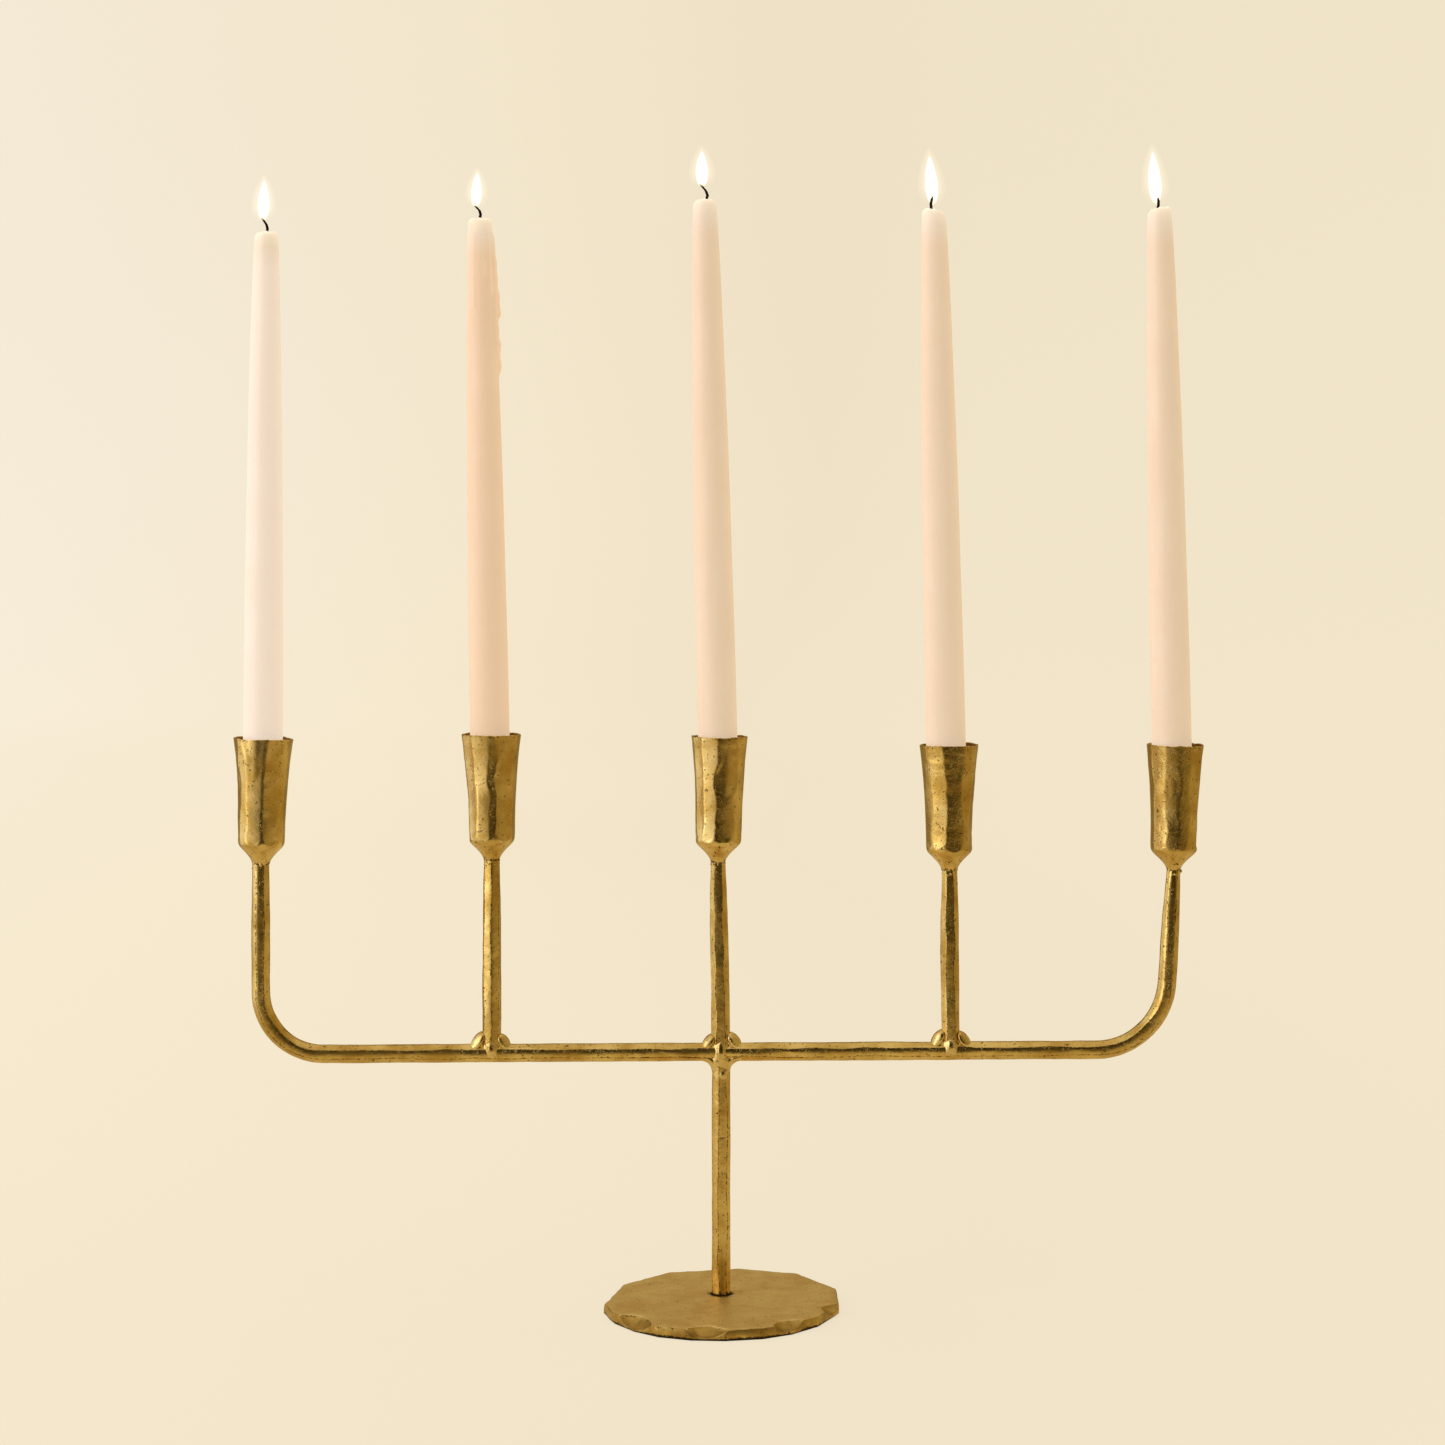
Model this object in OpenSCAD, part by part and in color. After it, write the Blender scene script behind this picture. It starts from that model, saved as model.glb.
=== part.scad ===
// Five-light tabletop candelabra: one bent cross bar, three upright stems and a post, all of round
// forged bar, welded together on a hand-cut base plate. Each arm ends in a flared candle cup that
// holds a tapered dinner candle.
//
// Millimetres. +X to the right, +Y to the back, +Z up. The origin is on the table, on the post's axis.
// Lists of five values run from the far left arm to the far right arm.

/* [Base] */
// Nominal width of the base plate
base_d = 128; // [100:1:180]
// Thickness of the base plate
base_t = 5; // [4.5:0.5:10]
// Depth of the hammered bevel round the plate's top edge
base_bevel = 1.4; // [0.5:0.1:3]
// Depth of the socket that the post's foot stands in
foot_depth = 1.5; // [1:0.1:2]
// Radial gap between the post's foot and its socket
foot_gap = 0.3; // [0.1:0.1:1]
// Thickness of the felt pad under the plate
felt_t = 1.2; // [0.8:0.1:3]
// How far the felt's edge stays inside the plate's
felt_inset = 1.5; // [0.5:0.5:10]
// How far the middle of the base stands in front of the post
base_shift = 8; // [0:0.5:15]

/* [Bars] */
// Diameter of the round bar
bar_d = 10; // [8:0.5:14]
// Height of the cross bar's centreline above the table, at the post
bar_z = 137.4; // [110:0.1:200]
// Upward tilt of the cross bar towards the right, in degrees
bar_tilt = 0.3; // [0:0.1:1]
// Distance from the post to the far left riser, at the cross bar's height
left_reach = 245.6; // [200:0.1:320]
// Distance from the post to the far right riser, at the cross bar's height
right_reach = 236; // [200:0.1:320]
// Distance from the post to each inner stem's foot
inner_reach = 122.4; // [90:0.1:150]
// Bend radius at the left end, to the bar's centreline
left_bend_r = 33; // [20:1:50]
// Bend radius at the right end, to the bar's centreline
right_bend_r = 38; // [20:1:50]
// Lean of each arm towards the right, in degrees
arm_lean = [0.6, 0.3, -0.9, -0.6, 2.7]; // [-3:0.1:3]
// Height of the cups' necks above the cross bar's centreline
arm_h = 100.4; // [80:0.1:160]
// How much higher than that each neck was made
neck_trim = [0.3, 2.5, 1.4, -2.9, -2.9]; // [-4:0.1:4]
// How much thinner than the bar each arm is drawn down at its neck
draw_thin = [0.8, 1.6, 2.2, 1.6, 2.8]; // [0.2:0.1:3]
// Length over which an arm is drawn down
draw_l = 38; // [20:1:50]

/* [Welds] */
// How far a weld spreads along the cross bar past the sides of the upright
weld_spread = 4.4; // [2:0.1:6]
// How far a weld stands out in front of the cross bar and behind it
weld_front = 1; // [0.3:0.1:1.5]
// How far a weld's thin end stands out from the bar
weld_lip = 0.7; // [0.3:0.1:1.2]
// Height of a weld above the cross bar
weld_h = 6.5; // [3:0.5:12]
// How far a weld runs down the bar's sides below its centreline
weld_drop = 2; // [0:0.5:4]
// Height of the fillet under the cross bar, round the post
fillet_h = 9; // [4:0.5:20]
// How far the bead round a neck stands out
bead_w = 1; // [0.5:0.1:2]
// Height of the bead round a neck
bead_h = 2.6; // [1:0.1:5]

/* [Cups] */
// Height of a cup from its neck to its rim
cup_h = 66.8; // [50:0.1:90]
// Height of the hollowed cone under a cup
cone_h = 10; // [6:0.5:14]
// Thickness that is left if the socket's floor is carried down to the cup's narrowest place
waist_t = 0.4; // [0.2:0.1:4]
// How much wider each cup's mouth is than its waist
mouth_flare = [6.8, 7.6, 5.4, 7.2, 5.8]; // [5:0.1:10]
// Thickness of the metal at the rim
rim_t = 1.5; // [1:0.1:2]
// Depth of the candle socket
socket_depth = 32; // [20:1:45]
// Lean of each cup towards the right, in degrees
cup_lean = [1.7, -0.1, 0.7, -0.3, 0.4]; // [-2:0.1:2]

/* [Candles] */
// Diameter of a candle at its foot
candle_d = 21; // [17:0.1:26]
// Diameter of a candle at its burnt top
candle_top_d = 11.8; // [8:0.1:14]
// Length over which a candle narrows
candle_taper = 300; // [200:1:340]
// Length that each candle has burnt down to
candle_l = [297.8, 302.4, 313.3, 312.5, 313.2]; // [150:0.1:340]
// Lean of each candle towards the right, in degrees
candle_lean = [1, -0.8, -1.4, -1.6, -1.9]; // [-2:0.1:2]
// How far right of its socket's middle each candle's foot stands
candle_shift = [0.2, -0.1, 0.3, -1.1, -0.8]; // [-1.1:0.1:1.1]
// Gap all round a candle's foot when it stands in the middle of its socket
candle_gap = 1.4; // [1.4:0.1:2.5]
// Depth of the melted pool round the wick
pool_depth = 1.2; // [0.5:0.1:3]
// Diameter of the braided wick
wick_d = 1.3; // [0.8:0.1:2.5]
// Length of each wick above the wax
wick_bare = [6.4, 5, 7.2, 7, 5.1]; // [3:0.1:10]
// Turn of each bare wick towards the right, in degrees
wick_turn = [-62, -86, -78, 30, -8]; // [-90:1:90]

/* [Screw] */
// Thread diameter of the countersunk screw that holds the post
screw_d = 5; // [4:1:6]
// Length of the screw, head included
screw_l = 16; // [12:1:30]
// Diameter of the screw's head
screw_head_d = 9.4; // [8:0.1:10.5]
// Radial gap round the screw in the plate
screw_gap = 0.25; // [0.1:0.05:0.5]

/* [Hidden] */
$fn = 64;

ARMS = ["far_left", "inner_left", "centre", "inner_right", "far_right"];
LAST_ARM = len(ARMS) - 1;
LEFT = 0;
CENTRE = 2;
RIGHT = LAST_ARM;

IRON = "#b98d3c";
IRON_DARK = "#a07a35";
WAX = "#f0d8c4";
FELT = "#1c1a18";
COTTON = "#3a2a20";
STEEL = "#8b8d90";

// How far a cutting shape runs past the face that it cuts
PAST = 1;
// Loss of radius in a bend, and the degrees by which a bend reaches into each straight
BEND_THIN = 0.1;
BEND_PAST = 1;
// A stem's or post's saddle on the cross bar starts this far from the bar's centreline
SADDLE = 1.5;
// The fillet under the bar ends inside the weld above it
FILLET_STEP = 0.5;
// Gap between a bead and the plane of its cup's foot
BEAD_GAP = 0.2;
bar_r = bar_d / 2;
weld_foot_r = bar_r + weld_spread;
weld_lip_r = bar_r + weld_lip;
base_r = base_d / 2;
base_top = felt_t + base_t;
post_foot_z = base_top - foot_depth;
screw_head_h = (screw_head_d - screw_d) / 2;

// Where each arm's centreline meets the cross bar's
foot_x = [-left_reach, -inner_reach, 0, inner_reach, right_reach];
function foot(i) = [foot_x[i], 0, bar_z + foot_x[i] * tan(bar_tilt)];
function arm_l(i) = (bar_z + arm_h + neck_trim[i] - foot(i).z) / cos(arm_lean[i]);
function neck(i) = foot(i) + arm_l(i) * [sin(arm_lean[i]), 0, cos(arm_lean[i])];
function neck_r(i) = bar_r - draw_thin[i] / 2;

// The bar leaves its straight run this far before the corner that a bend rounds off
left_turn = 90 + bar_tilt + arm_lean[LEFT];
right_turn = 90 - bar_tilt - arm_lean[RIGHT];
left_setback = left_bend_r * tan(left_turn / 2);
right_setback = right_bend_r * tan(right_turn / 2);
left_straight = left_reach / cos(bar_tilt) - left_setback;
right_straight = right_reach / cos(bar_tilt) - right_setback;

// A candle's foot lies across its socket's floor, so its low edge decides how high it stands
socket_z = cup_h - socket_depth;
socket_r = candle_d / 2 + candle_gap;
waist_r = socket_r + waist_t;
SEAT_GAP = 0.05;
function candle_tip(i) = abs(sin(candle_lean[i] - cup_lean[i])) * candle_d / 2;
function candle_foot(i) =
    neck(i) + rotated([candle_shift[i], socket_z + candle_tip(i) + SEAT_GAP], cup_lean[i]);

// A point given along and up a part that leans to the right by some angle
function rotated(p, lean) = [p.x * cos(lean) + p.y * sin(lean), 0, p.y * cos(lean) - p.x * sin(lean)];

// ---- Shared shapes ----

module along_arm(i) {
    translate(foot(i))
        rotate([0, arm_lean[i], 0])
            children();
}

module at_neck(i) {
    translate(neck(i))
        rotate([0, cup_lean[i], 0])
            children();
}

module at_candle(i) {
    translate(candle_foot(i))
        rotate([0, candle_lean[i], 0])
            children();
}

// The cross bar's own frame: X runs along the bar
module along_bar() {
    translate([0, 0, bar_z])
        rotate([0, -bar_tilt, 0])
            children();
}

module straight_bar() {
    along_bar()
        translate([-left_straight, 0, 0])
            rotate([0, 90, 0])
                cylinder(h = left_straight + right_straight, r = bar_r);
}

// A round bar drawn down over its last stretch, cut square to its cup
module drawn_arm(i, start) {
    difference() {
        along_arm(i)
            rotate_extrude()
                polygon([
                    [0, start],
                    [bar_r, start],
                    [bar_r, arm_l(i) - draw_l],
                    [neck_r(i), arm_l(i)],
                    [neck_r(i), arm_l(i) + PAST],
                    [0, arm_l(i) + PAST]
                ]);
        at_neck(i)
            cylinder(h = 3 * PAST, r = bar_d);
    }
}

// An upward bend at the end of a run along +X. The bar thins a little where it was bent, and
// the bend reaches into the straight on each side of it
module bend(run, radius, turn) {
    translate([run, 0, radius])
        rotate([90, 0, 0])
            rotate([0, 0, -90 - BEND_PAST])
                rotate_extrude(angle = turn + 2 * BEND_PAST)
                    translate([radius, 0])
                        circle(r = bar_r - BEND_THIN);
}

// ---- Base ----

// Corners of the hand-cut outline: the angle from +X, and the distance out as a share of the nominal radius
BASE_CORNERS = [
    [17, 1.02], [51, 1.04], [81, 0.99], [118, 0.96], [152, 0.94], [192, 0.99], [208, 1.01], [225, 1.02],
    [240, 1.03], [256, 1.02], [272, 1.01], [290, 1.01], [306, 1.0], [325, 0.99], [348, 1.0]
];
function base_corner(c) = base_r * c[1] * [cos(c[0]), sin(c[0])];
base_out = base_r * max([for (c = BASE_CORNERS) c[1]]);

module base_plate() {
    color(IRON_DARK)
        difference() {
            translate([0, -base_shift, felt_t])
                intersection() {
                    linear_extrude(base_t)
                        polygon([for (c = BASE_CORNERS) base_corner(c)]);
                    union() {
                        cylinder(h = base_t - base_bevel, r = base_out + PAST);
                        translate([0, 0, base_t - base_bevel])
                            cylinder(h = base_bevel, r1 = base_out, r2 = base_out - 3 * base_bevel);
                    }
                }
            translate([0, 0, post_foot_z])
                cylinder(h = foot_depth + PAST, r = bar_r + foot_gap);
            translate([0, 0, felt_t - PAST])
                cylinder(h = base_t + 2 * PAST, r = screw_d / 2 + screw_gap);
            translate([0, 0, felt_t])
                cylinder(h = screw_head_h, r1 = screw_head_d / 2 + screw_gap, r2 = screw_d / 2 + screw_gap);
        }
}

module base_felt() {
    color(FELT)
        translate([0, -base_shift, 0])
            linear_extrude(felt_t)
                polygon([for (c = BASE_CORNERS) base_corner(c) * (1 - felt_inset / base_r)]);
}

module screw_solid() {
    translate([0, 0, felt_t]) {
        cylinder(h = screw_head_h, r1 = screw_head_d / 2, r2 = screw_d / 2);
        cylinder(h = screw_l, r = screw_d / 2);
    }
}

module base_screw() {
    color(STEEL)
        screw_solid();
}

// ---- Bars ----

module lower_post() {
    color(IRON)
        difference() {
            translate([0, 0, post_foot_z])
                cylinder(h = bar_z - SADDLE - post_foot_z, r = bar_r);
            straight_bar();
            screw_solid();
        }
}

module cross_bar() {
    color(IRON) {
        straight_bar();
        along_bar() {
            mirror([1, 0, 0])
                bend(left_straight, left_bend_r, left_turn);
            bend(right_straight, right_bend_r, right_turn);
        }
        drawn_arm(LEFT, left_setback);
        drawn_arm(RIGHT, right_setback);
    }
}

module stem(i) {
    color(IRON)
        difference() {
            drawn_arm(i, SADDLE);
            straight_bar();
        }
}

// ---- Welds ----

module weld(i) {
    color(IRON)
        difference() {
            intersection() {
                union() {
                    along_arm(i)
                        translate([0, 0, -weld_drop])
                            cylinder(h = weld_drop + bar_r + weld_h, r1 = weld_foot_r, r2 = weld_lip_r);
                    if (i == CENTRE)
                        translate([0, 0, bar_z - bar_r - fillet_h])
                            cylinder(h = bar_r + fillet_h, r1 = weld_lip_r, r2 = weld_foot_r - FILLET_STEP);
                }
                translate([foot(i).x, 0, foot(i).z])
                    cube([4 * weld_foot_r, 2 * (bar_r + weld_front), 4 * (bar_r + weld_h + fillet_h)], center = true);
            }
            straight_bar();
            along_arm(i)
                translate([0, 0, SADDLE])
                    cylinder(h = arm_l(i) / 2, r = bar_r);
            if (i == CENTRE)
                translate([0, 0, post_foot_z])
                    cylinder(h = bar_z - SADDLE - post_foot_z, r = bar_r);
        }
}

BEAD_STEPS = 8;

// Radius of an arm's drawn-down stretch at a distance below its neck
function drawn_r(i, below) = neck_r(i) + draw_thin[i] / 2 * below / draw_l;

// A round bead that hugs the drawn arm just under its cup
module neck_bead(i) {
    color(IRON)
        along_arm(i)
            rotate_extrude()
                polygon([for (k = [0 : BEAD_STEPS])
                    let (a = 180 * k / BEAD_STEPS)
                    let (below = BEAD_GAP + bead_h / 2 * (1 - cos(a)))
                    [drawn_r(i, below) + bead_w * sin(a), arm_l(i) - below]
                ]);
}

// ---- Cups ----

CONE_STEPS = 5;
WALL_STEPS = 9;

// Outer radius of the hollowed cone, s from 0 at the neck to 1 at the body
function cone_r(i, s) = neck_r(i) + (waist_r - neck_r(i)) * pow(s, 1.6);

// Outer radius of the wall, s from 0 at the cone to 1 at the rim: nearly straight, then flared
function wall_r(i, s) = waist_r + mouth_flare[i] / 2 * (0.35 * s + 0.65 * pow(s, 3));

module cup_solid(i) {
    at_neck(i)
        difference() {
            rotate_extrude()
                polygon(concat(
                    [[0, 0]],
                    [for (k = [0 : CONE_STEPS]) [cone_r(i, k / CONE_STEPS), cone_h * k / CONE_STEPS]],
                    [for (k = [1 : WALL_STEPS])
                        [wall_r(i, k / WALL_STEPS), cone_h + (cup_h - cone_h) * k / WALL_STEPS]],
                    [[0, cup_h]]
                ));
            translate([0, 0, socket_z])
                cylinder(h = socket_depth, r1 = socket_r, r2 = wall_r(i, 1) - rim_t);
        }
}

module cup(i) {
    color(IRON)
        cup_solid(i);
}

// ---- Candles ----

CANDLE_STEPS = 12;
EDGE_ROUND = 0.8;

// Radius of a candle at a distance below its top: full at the foot, then a long easy taper
function candle_r(below) =
    candle_top_d / 2
    + (candle_d - candle_top_d) / 2 * pow(sin(min(90, 90 * below / candle_taper)), 0.65);

// Share of a candle's length that each step of its outline lies below its top: closer near the top
function step_below(k) = pow(1 - k / CANDLE_STEPS, 2);

module candle(i) {
    l = candle_l[i];
    color(WAX)
        at_candle(i)
            difference() {
                rotate_extrude()
                    polygon(concat(
                        [[0, 0]],
                        [for (k = [0 : CANDLE_STEPS - 1])
                            [candle_r(l * step_below(k)), l * (1 - step_below(k))]],
                        [
                            [candle_top_d / 2, l - EDGE_ROUND],
                            [candle_top_d / 2 - EDGE_ROUND, l],
                            [wick_d, l - pool_depth],
                            [0, l - pool_depth]
                        ]
                    ));
                translate([0, 0, -PAST])
                    cylinder(h = l + 2 * PAST, r = wick_d / 2);
            }
}

module wick(i) {
    top = candle_l[i] - pool_depth;
    side = sign(wick_turn[i]);
    turn = abs(wick_turn[i]);
    bend_r = (wick_bare[i] + pool_depth) * 180 / (PI * turn);
    color(COTTON)
        at_candle(i) {
            cylinder(h = top, r = wick_d / 2);
            translate([side * bend_r, 0, top])
                rotate([90, 0, side < 0 ? 0 : 180])
                    rotate_extrude(angle = turn)
                        translate([bend_r, 0])
                            circle(r = wick_d / 2);
        }
}

// ---- Drawing ----

base_plate();
base_felt();
base_screw();
lower_post();
cross_bar();
for (i = [LEFT + 1 : RIGHT - 1]) {
    stem(i);
    weld(i);
}
for (i = [LEFT : RIGHT]) {
    neck_bead(i);
    cup(i);
    candle(i);
    wick(i);
}
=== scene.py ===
import math

import bmesh
import bpy
import numpy as np
from mathutils import Matrix, Vector


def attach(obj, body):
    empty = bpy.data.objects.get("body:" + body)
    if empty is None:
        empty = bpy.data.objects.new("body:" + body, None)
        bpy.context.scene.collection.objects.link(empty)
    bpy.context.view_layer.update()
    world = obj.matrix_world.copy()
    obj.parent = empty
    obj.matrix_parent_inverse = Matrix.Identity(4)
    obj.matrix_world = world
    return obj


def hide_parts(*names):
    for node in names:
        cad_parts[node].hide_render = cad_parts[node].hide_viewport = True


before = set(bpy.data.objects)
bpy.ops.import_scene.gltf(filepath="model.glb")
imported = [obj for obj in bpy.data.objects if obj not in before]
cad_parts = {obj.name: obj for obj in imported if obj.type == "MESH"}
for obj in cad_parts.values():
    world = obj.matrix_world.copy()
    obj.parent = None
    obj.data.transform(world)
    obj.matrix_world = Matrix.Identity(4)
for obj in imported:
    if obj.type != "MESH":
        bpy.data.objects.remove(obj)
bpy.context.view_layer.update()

scene = bpy.context.scene
MM = 0.001


# ---------------------------------------------------------------- the studio
# A cream paper bowl stands round the candelabra on every side, with a long softbox at its left,
# a black flag behind the camera and warm cards at its right. None of it belongs to the object.

CAMERA_AT = (0.0008, -1.591, 0.4248)
CAMERA_PITCH = 86.0
CAMERA_LENS = 75.0
KEY_AT = (-1.75, -0.8, 0.75)
KEY_SIZE = (0.9, 1.7)
KEY_POWER = 5.0
# What stands round the object: degrees from straight behind the camera, positive to the right, and
# the brightness and the warmth of the light from there.
ROOM = (
    (-180, 0.42, 0.8), (-160, 0.4, 0.85), (-145, 0.2, 1.0), (-130, 0.3, 0.9), (-118, 0.92, 0.12),
    (-42, 0.98, 0.12), (-30, 0.5, 0.4), (-18, 0.022, 1.2), (30, 0.022, 1.2), (42, 0.3, 0.9),
    (120, 0.5, 0.85), (150, 0.28, 0.9), (180, 0.42, 0.8),
)
CEILING = (0.72, 0.4)
GROUND = (0.5, 0.8)
STAGE_HOLE_R = 0.05
BOWL_FLOOR = 5.0
BOWL_CURVE = 1.5
BOWL_WALL = 6.0
STAGE_AROUND = 96
SHEET_FULL = 0.68
SHEET_END = 0.9
SHEET_DOWN = 0.5 * MM

NOISE = "ShaderNodeTexNoise"
RAMP = "ShaderNodeValToRGB"
RANGE = "ShaderNodeMapRange"
MIX = "ShaderNodeMix"
BUMP = "ShaderNodeBump"
EMISSION = "ShaderNodeEmission"
ATTRIBUTE = "ShaderNodeAttribute"
COORDINATES = "ShaderNodeTexCoord"
PRINCIPLED = "ShaderNodeBsdfPrincipled"
SURFACE = "ShaderNodeOutputMaterial"


def linear(code):
    """A colour written as sRGB hex, in Blender's linear values."""
    shares = [int(code[i:i + 2], 16) / 255 for i in (1, 3, 5)]
    return tuple(c / 12.92 if c <= 0.04045 else ((c + 0.055) / 1.055) ** 2.4 for c in shares) + (1.0,)


def grey(value, warmth):
    """Light of this brightness; warmth takes away green and blue."""
    return (value, value * (1 - 0.28 * warmth), value * max(0.0, 1 - 0.82 * warmth), 1.0)


def add(tree, kind, inputs=(), stops=(), **settings):
    """One node with its settings; a kind in capitals is a sum, on numbers or on vectors. Inputs are a
    list in the order of the sockets in use, or go by name, and each is a value or the node or socket it
    is linked from. Stops are a colour ramp's."""
    if kind.isupper():
        settings["operation"] = kind.replace("VECTOR ", "")
        kind = "ShaderNodeMath" if kind == settings["operation"] else "ShaderNodeVectorMath"
    made = tree.nodes.new(kind)
    for name, value in settings.items():
        setattr(made, name, value)
    if isinstance(inputs, dict):
        pairs = [(made.inputs[key], value) for key, value in inputs.items()]
    else:
        pairs = list(zip([socket for socket in made.inputs if socket.enabled], inputs))
    for socket, value in pairs:
        if isinstance(value, bpy.types.Node):
            value = next(output for output in value.outputs if output.enabled)
        if isinstance(value, bpy.types.NodeSocket):
            tree.links.new(value, socket)
        else:
            socket.default_value = value
    for number, (place, colour) in enumerate(stops):
        bands = made.color_ramp.elements
        band = bands[number] if number < 2 else bands.new(place)
        band.position = place
        band.color = colour
    return made


def blank_material(name):
    """A material with nothing in it yet, and its tree."""
    made = bpy.data.materials.new(name)
    made.use_nodes = True
    made.node_tree.nodes.clear()
    return made, made.node_tree


def in_scene(name, data):
    """A new object that holds this camera, light, curve or mesh."""
    made = bpy.data.objects.new(name, data)
    scene.collection.objects.link(made)
    return made


def final_mesh(piece):
    """The piece's plain mesh, with its modifiers worked out."""
    bpy.context.view_layer.update()
    graph = bpy.context.evaluated_depsgraph_get()
    return bpy.data.meshes.new_from_object(piece.evaluated_get(graph))


def hide_from(piece, *rays):
    """Makes the piece unseen by these kinds of ray."""
    for kind in rays:
        setattr(piece, "visible_" + kind, False)


def mesh_object(name, points, faces, material):
    """A smooth mesh object at the origin; the mesh's own points say where it is."""
    mesh = bpy.data.meshes.new(name)
    mesh.from_pydata([tuple(p) for p in points], [], faces)
    mesh.materials.append(material)
    mesh.polygons.foreach_set("use_smooth", [True] * len(mesh.polygons))
    mesh.update()
    return in_scene(name, mesh)


def turns_of(count):
    """Even turns round a circle, in radians."""
    return 2 * math.pi * np.arange(count) / count


def circle(radius, turns, height):
    """Points at these turns round the upright axis; radius and height are one number or one for each."""
    return np.stack([radius * np.cos(turns), radius * np.sin(turns), height + 0 * turns], axis=-1)


def tube_faces(rings, count, first=0, flip=False):
    """A cap, the faces between rings of count points that follow one another, and the other cap."""
    faces = [tuple(reversed(range(first, first + count)))]
    for low in range(first, first + (rings - 1) * count, count):
        high = low + count
        for j in range(count):
            after = (j + 1) % count
            faces.append((low + j, low + after, high + after, high + j))
    last = first + (rings - 1) * count
    faces.append(tuple(range(last, last + count)))
    return [tuple(reversed(face)) for face in faces] if flip else faces


camera_data = bpy.data.cameras.new("camera")
camera_data.lens = CAMERA_LENS
camera_data.sensor_width = 36.0
camera = in_scene("camera", camera_data)
camera.location = CAMERA_AT
camera.rotation_euler = (math.radians(CAMERA_PITCH), 0.0, 0.0)
scene.camera = camera
scene.view_settings.view_transform = "Standard"

world = bpy.data.worlds.new("studio")
world.use_nodes = True
scene.world = world
tree = world.node_tree
tree.nodes.clear()
way = add(tree, COORDINATES).outputs["Generated"]
part = add(tree, "ShaderNodeSeparateXYZ", [way]).outputs
toward = add(tree, "MULTIPLY", [part["Y"], -1.0])
turn = add(tree, "ARCTAN2", [part["X"], toward])
around = add(tree, RANGE, [turn, -math.pi, math.pi])
walls = add(tree, RAMP, [around], [
    ((degrees + 180) / 360, grey(bright, warmth)) for degrees, bright, warmth in ROOM
])
above = add(tree, RANGE, [part["Z"], 0.62, 0.88])
below = add(tree, RANGE, [part["Z"], -0.3, -0.5])
lit_above = add(tree, MIX, [above, walls, grey(*CEILING)], data_type="RGBA")
lit_all = add(tree, MIX, [below, lit_above, grey(*GROUND)], data_type="RGBA")
light = add(tree, "ShaderNodeBackground", [lit_all, 1.0])
add(tree, "ShaderNodeOutputWorld", [light])

key_data = bpy.data.lights.new("key_softbox", "AREA")
key_data.shape = "RECTANGLE"
key_data.size, key_data.size_y = KEY_SIZE
key_data.energy = KEY_POWER
key_data.color = (1.0, 0.95, 0.88)
key = in_scene("key_softbox", key_data)
key.location = KEY_AT
key.rotation_euler = (Vector((0, 0, 0.3)) - Vector(KEY_AT)).to_track_quat("-Z", "Y").to_euler()
hide_from(key, "camera")

# Painted paper, matt: it gives back its own light, so that it stays even with a little fall to the right.
paper, tree = blank_material("backdrop_paper_matt")
spot = add(tree, COORDINATES).outputs["Object"]
across = add(tree, "ShaderNodeSeparateXYZ", [spot]).outputs["X"]
fibre = add(tree, NOISE, [spot, 0.35, 1.0])
blend = add(tree, "ADD", [fibre, across])
spread = add(tree, RANGE, [blend, -1.6, 1.0])
tone = add(tree, RAMP, [spread], [
    (0.0, linear("#fcf3e2")),
    (0.55, linear("#f9edd4")),
    (0.85, linear("#f4e7cd")),
    (1.0, linear("#f5e9cf")),
])
glow = add(tree, EMISSION, [tone, 1.06])
matt = add(tree, "ShaderNodeBsdfDiffuse", [tone])
add(tree, SURFACE, [add(tree, "ShaderNodeMixShader", [0.18, glow, matt])])

bowl_profile = [(STAGE_HOLE_R, 0.0), (0.6, 0.0), (BOWL_FLOOR, 0.0)]
for bend in np.radians(np.linspace(7.5, 90, 12)):
    bowl_profile.append((BOWL_FLOOR + BOWL_CURVE * math.sin(bend), BOWL_CURVE * (1 - math.cos(bend))))
bowl_profile.append((BOWL_FLOOR + BOWL_CURVE, BOWL_WALL))
stage_turns = turns_of(STAGE_AROUND)
bowl_points = np.concatenate([circle(radius, stage_turns, z) for radius, z in bowl_profile])
bowl_faces = tube_faces(len(bowl_profile), STAGE_AROUND, flip=True)[:-1]
bowl = mesh_object("backdrop", bowl_points, bowl_faces, paper)
hide_from(bowl, "glossy", "diffuse", "transmission", "shadow")

# The lit sheet of paper that the candelabra stands on: metal mirrors it, and it ends short of the camera,
# so that the low parts mirror bright paper and the high parts the dark room behind the camera.
sheet_paper, tree = blank_material("lit_paper_sheet")
spot = add(tree, COORDINATES).outputs["Object"]
away = add(tree, "VECTOR LENGTH", [spot])
fibre = add(tree, NOISE, [spot, 9.0, 2.0])
far = add(tree, "MULTIPLY_ADD", [fibre, 0.1, away])
fade = add(tree, RANGE, [far, SHEET_FULL, SHEET_END])
lit = add(tree, EMISSION, [grey(0.6, 0.7), 1.0])
gone = add(tree, "ShaderNodeBsdfTransparent")
add(tree, SURFACE, [add(tree, "ShaderNodeMixShader", [fade, lit, gone])])
sheet_points = np.concatenate([circle(r, stage_turns, -SHEET_DOWN) for r in (STAGE_HOLE_R, SHEET_END)])
sheet = mesh_object("backdrop_sheet", sheet_points, tube_faces(2, STAGE_AROUND, flip=True)[:-1], sheet_paper)
hide_from(sheet, "camera", "diffuse", "transmission", "shadow")


# ---------------------------------------------------------------- the base plate
# A hand-cut disc of 5 mm iron plate, forged to fifteen rough corners, with a bevel that was hammered
# by eye and bites into the top in scallops. It is gilded like the rest, and the post's foot sits in it.

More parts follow.
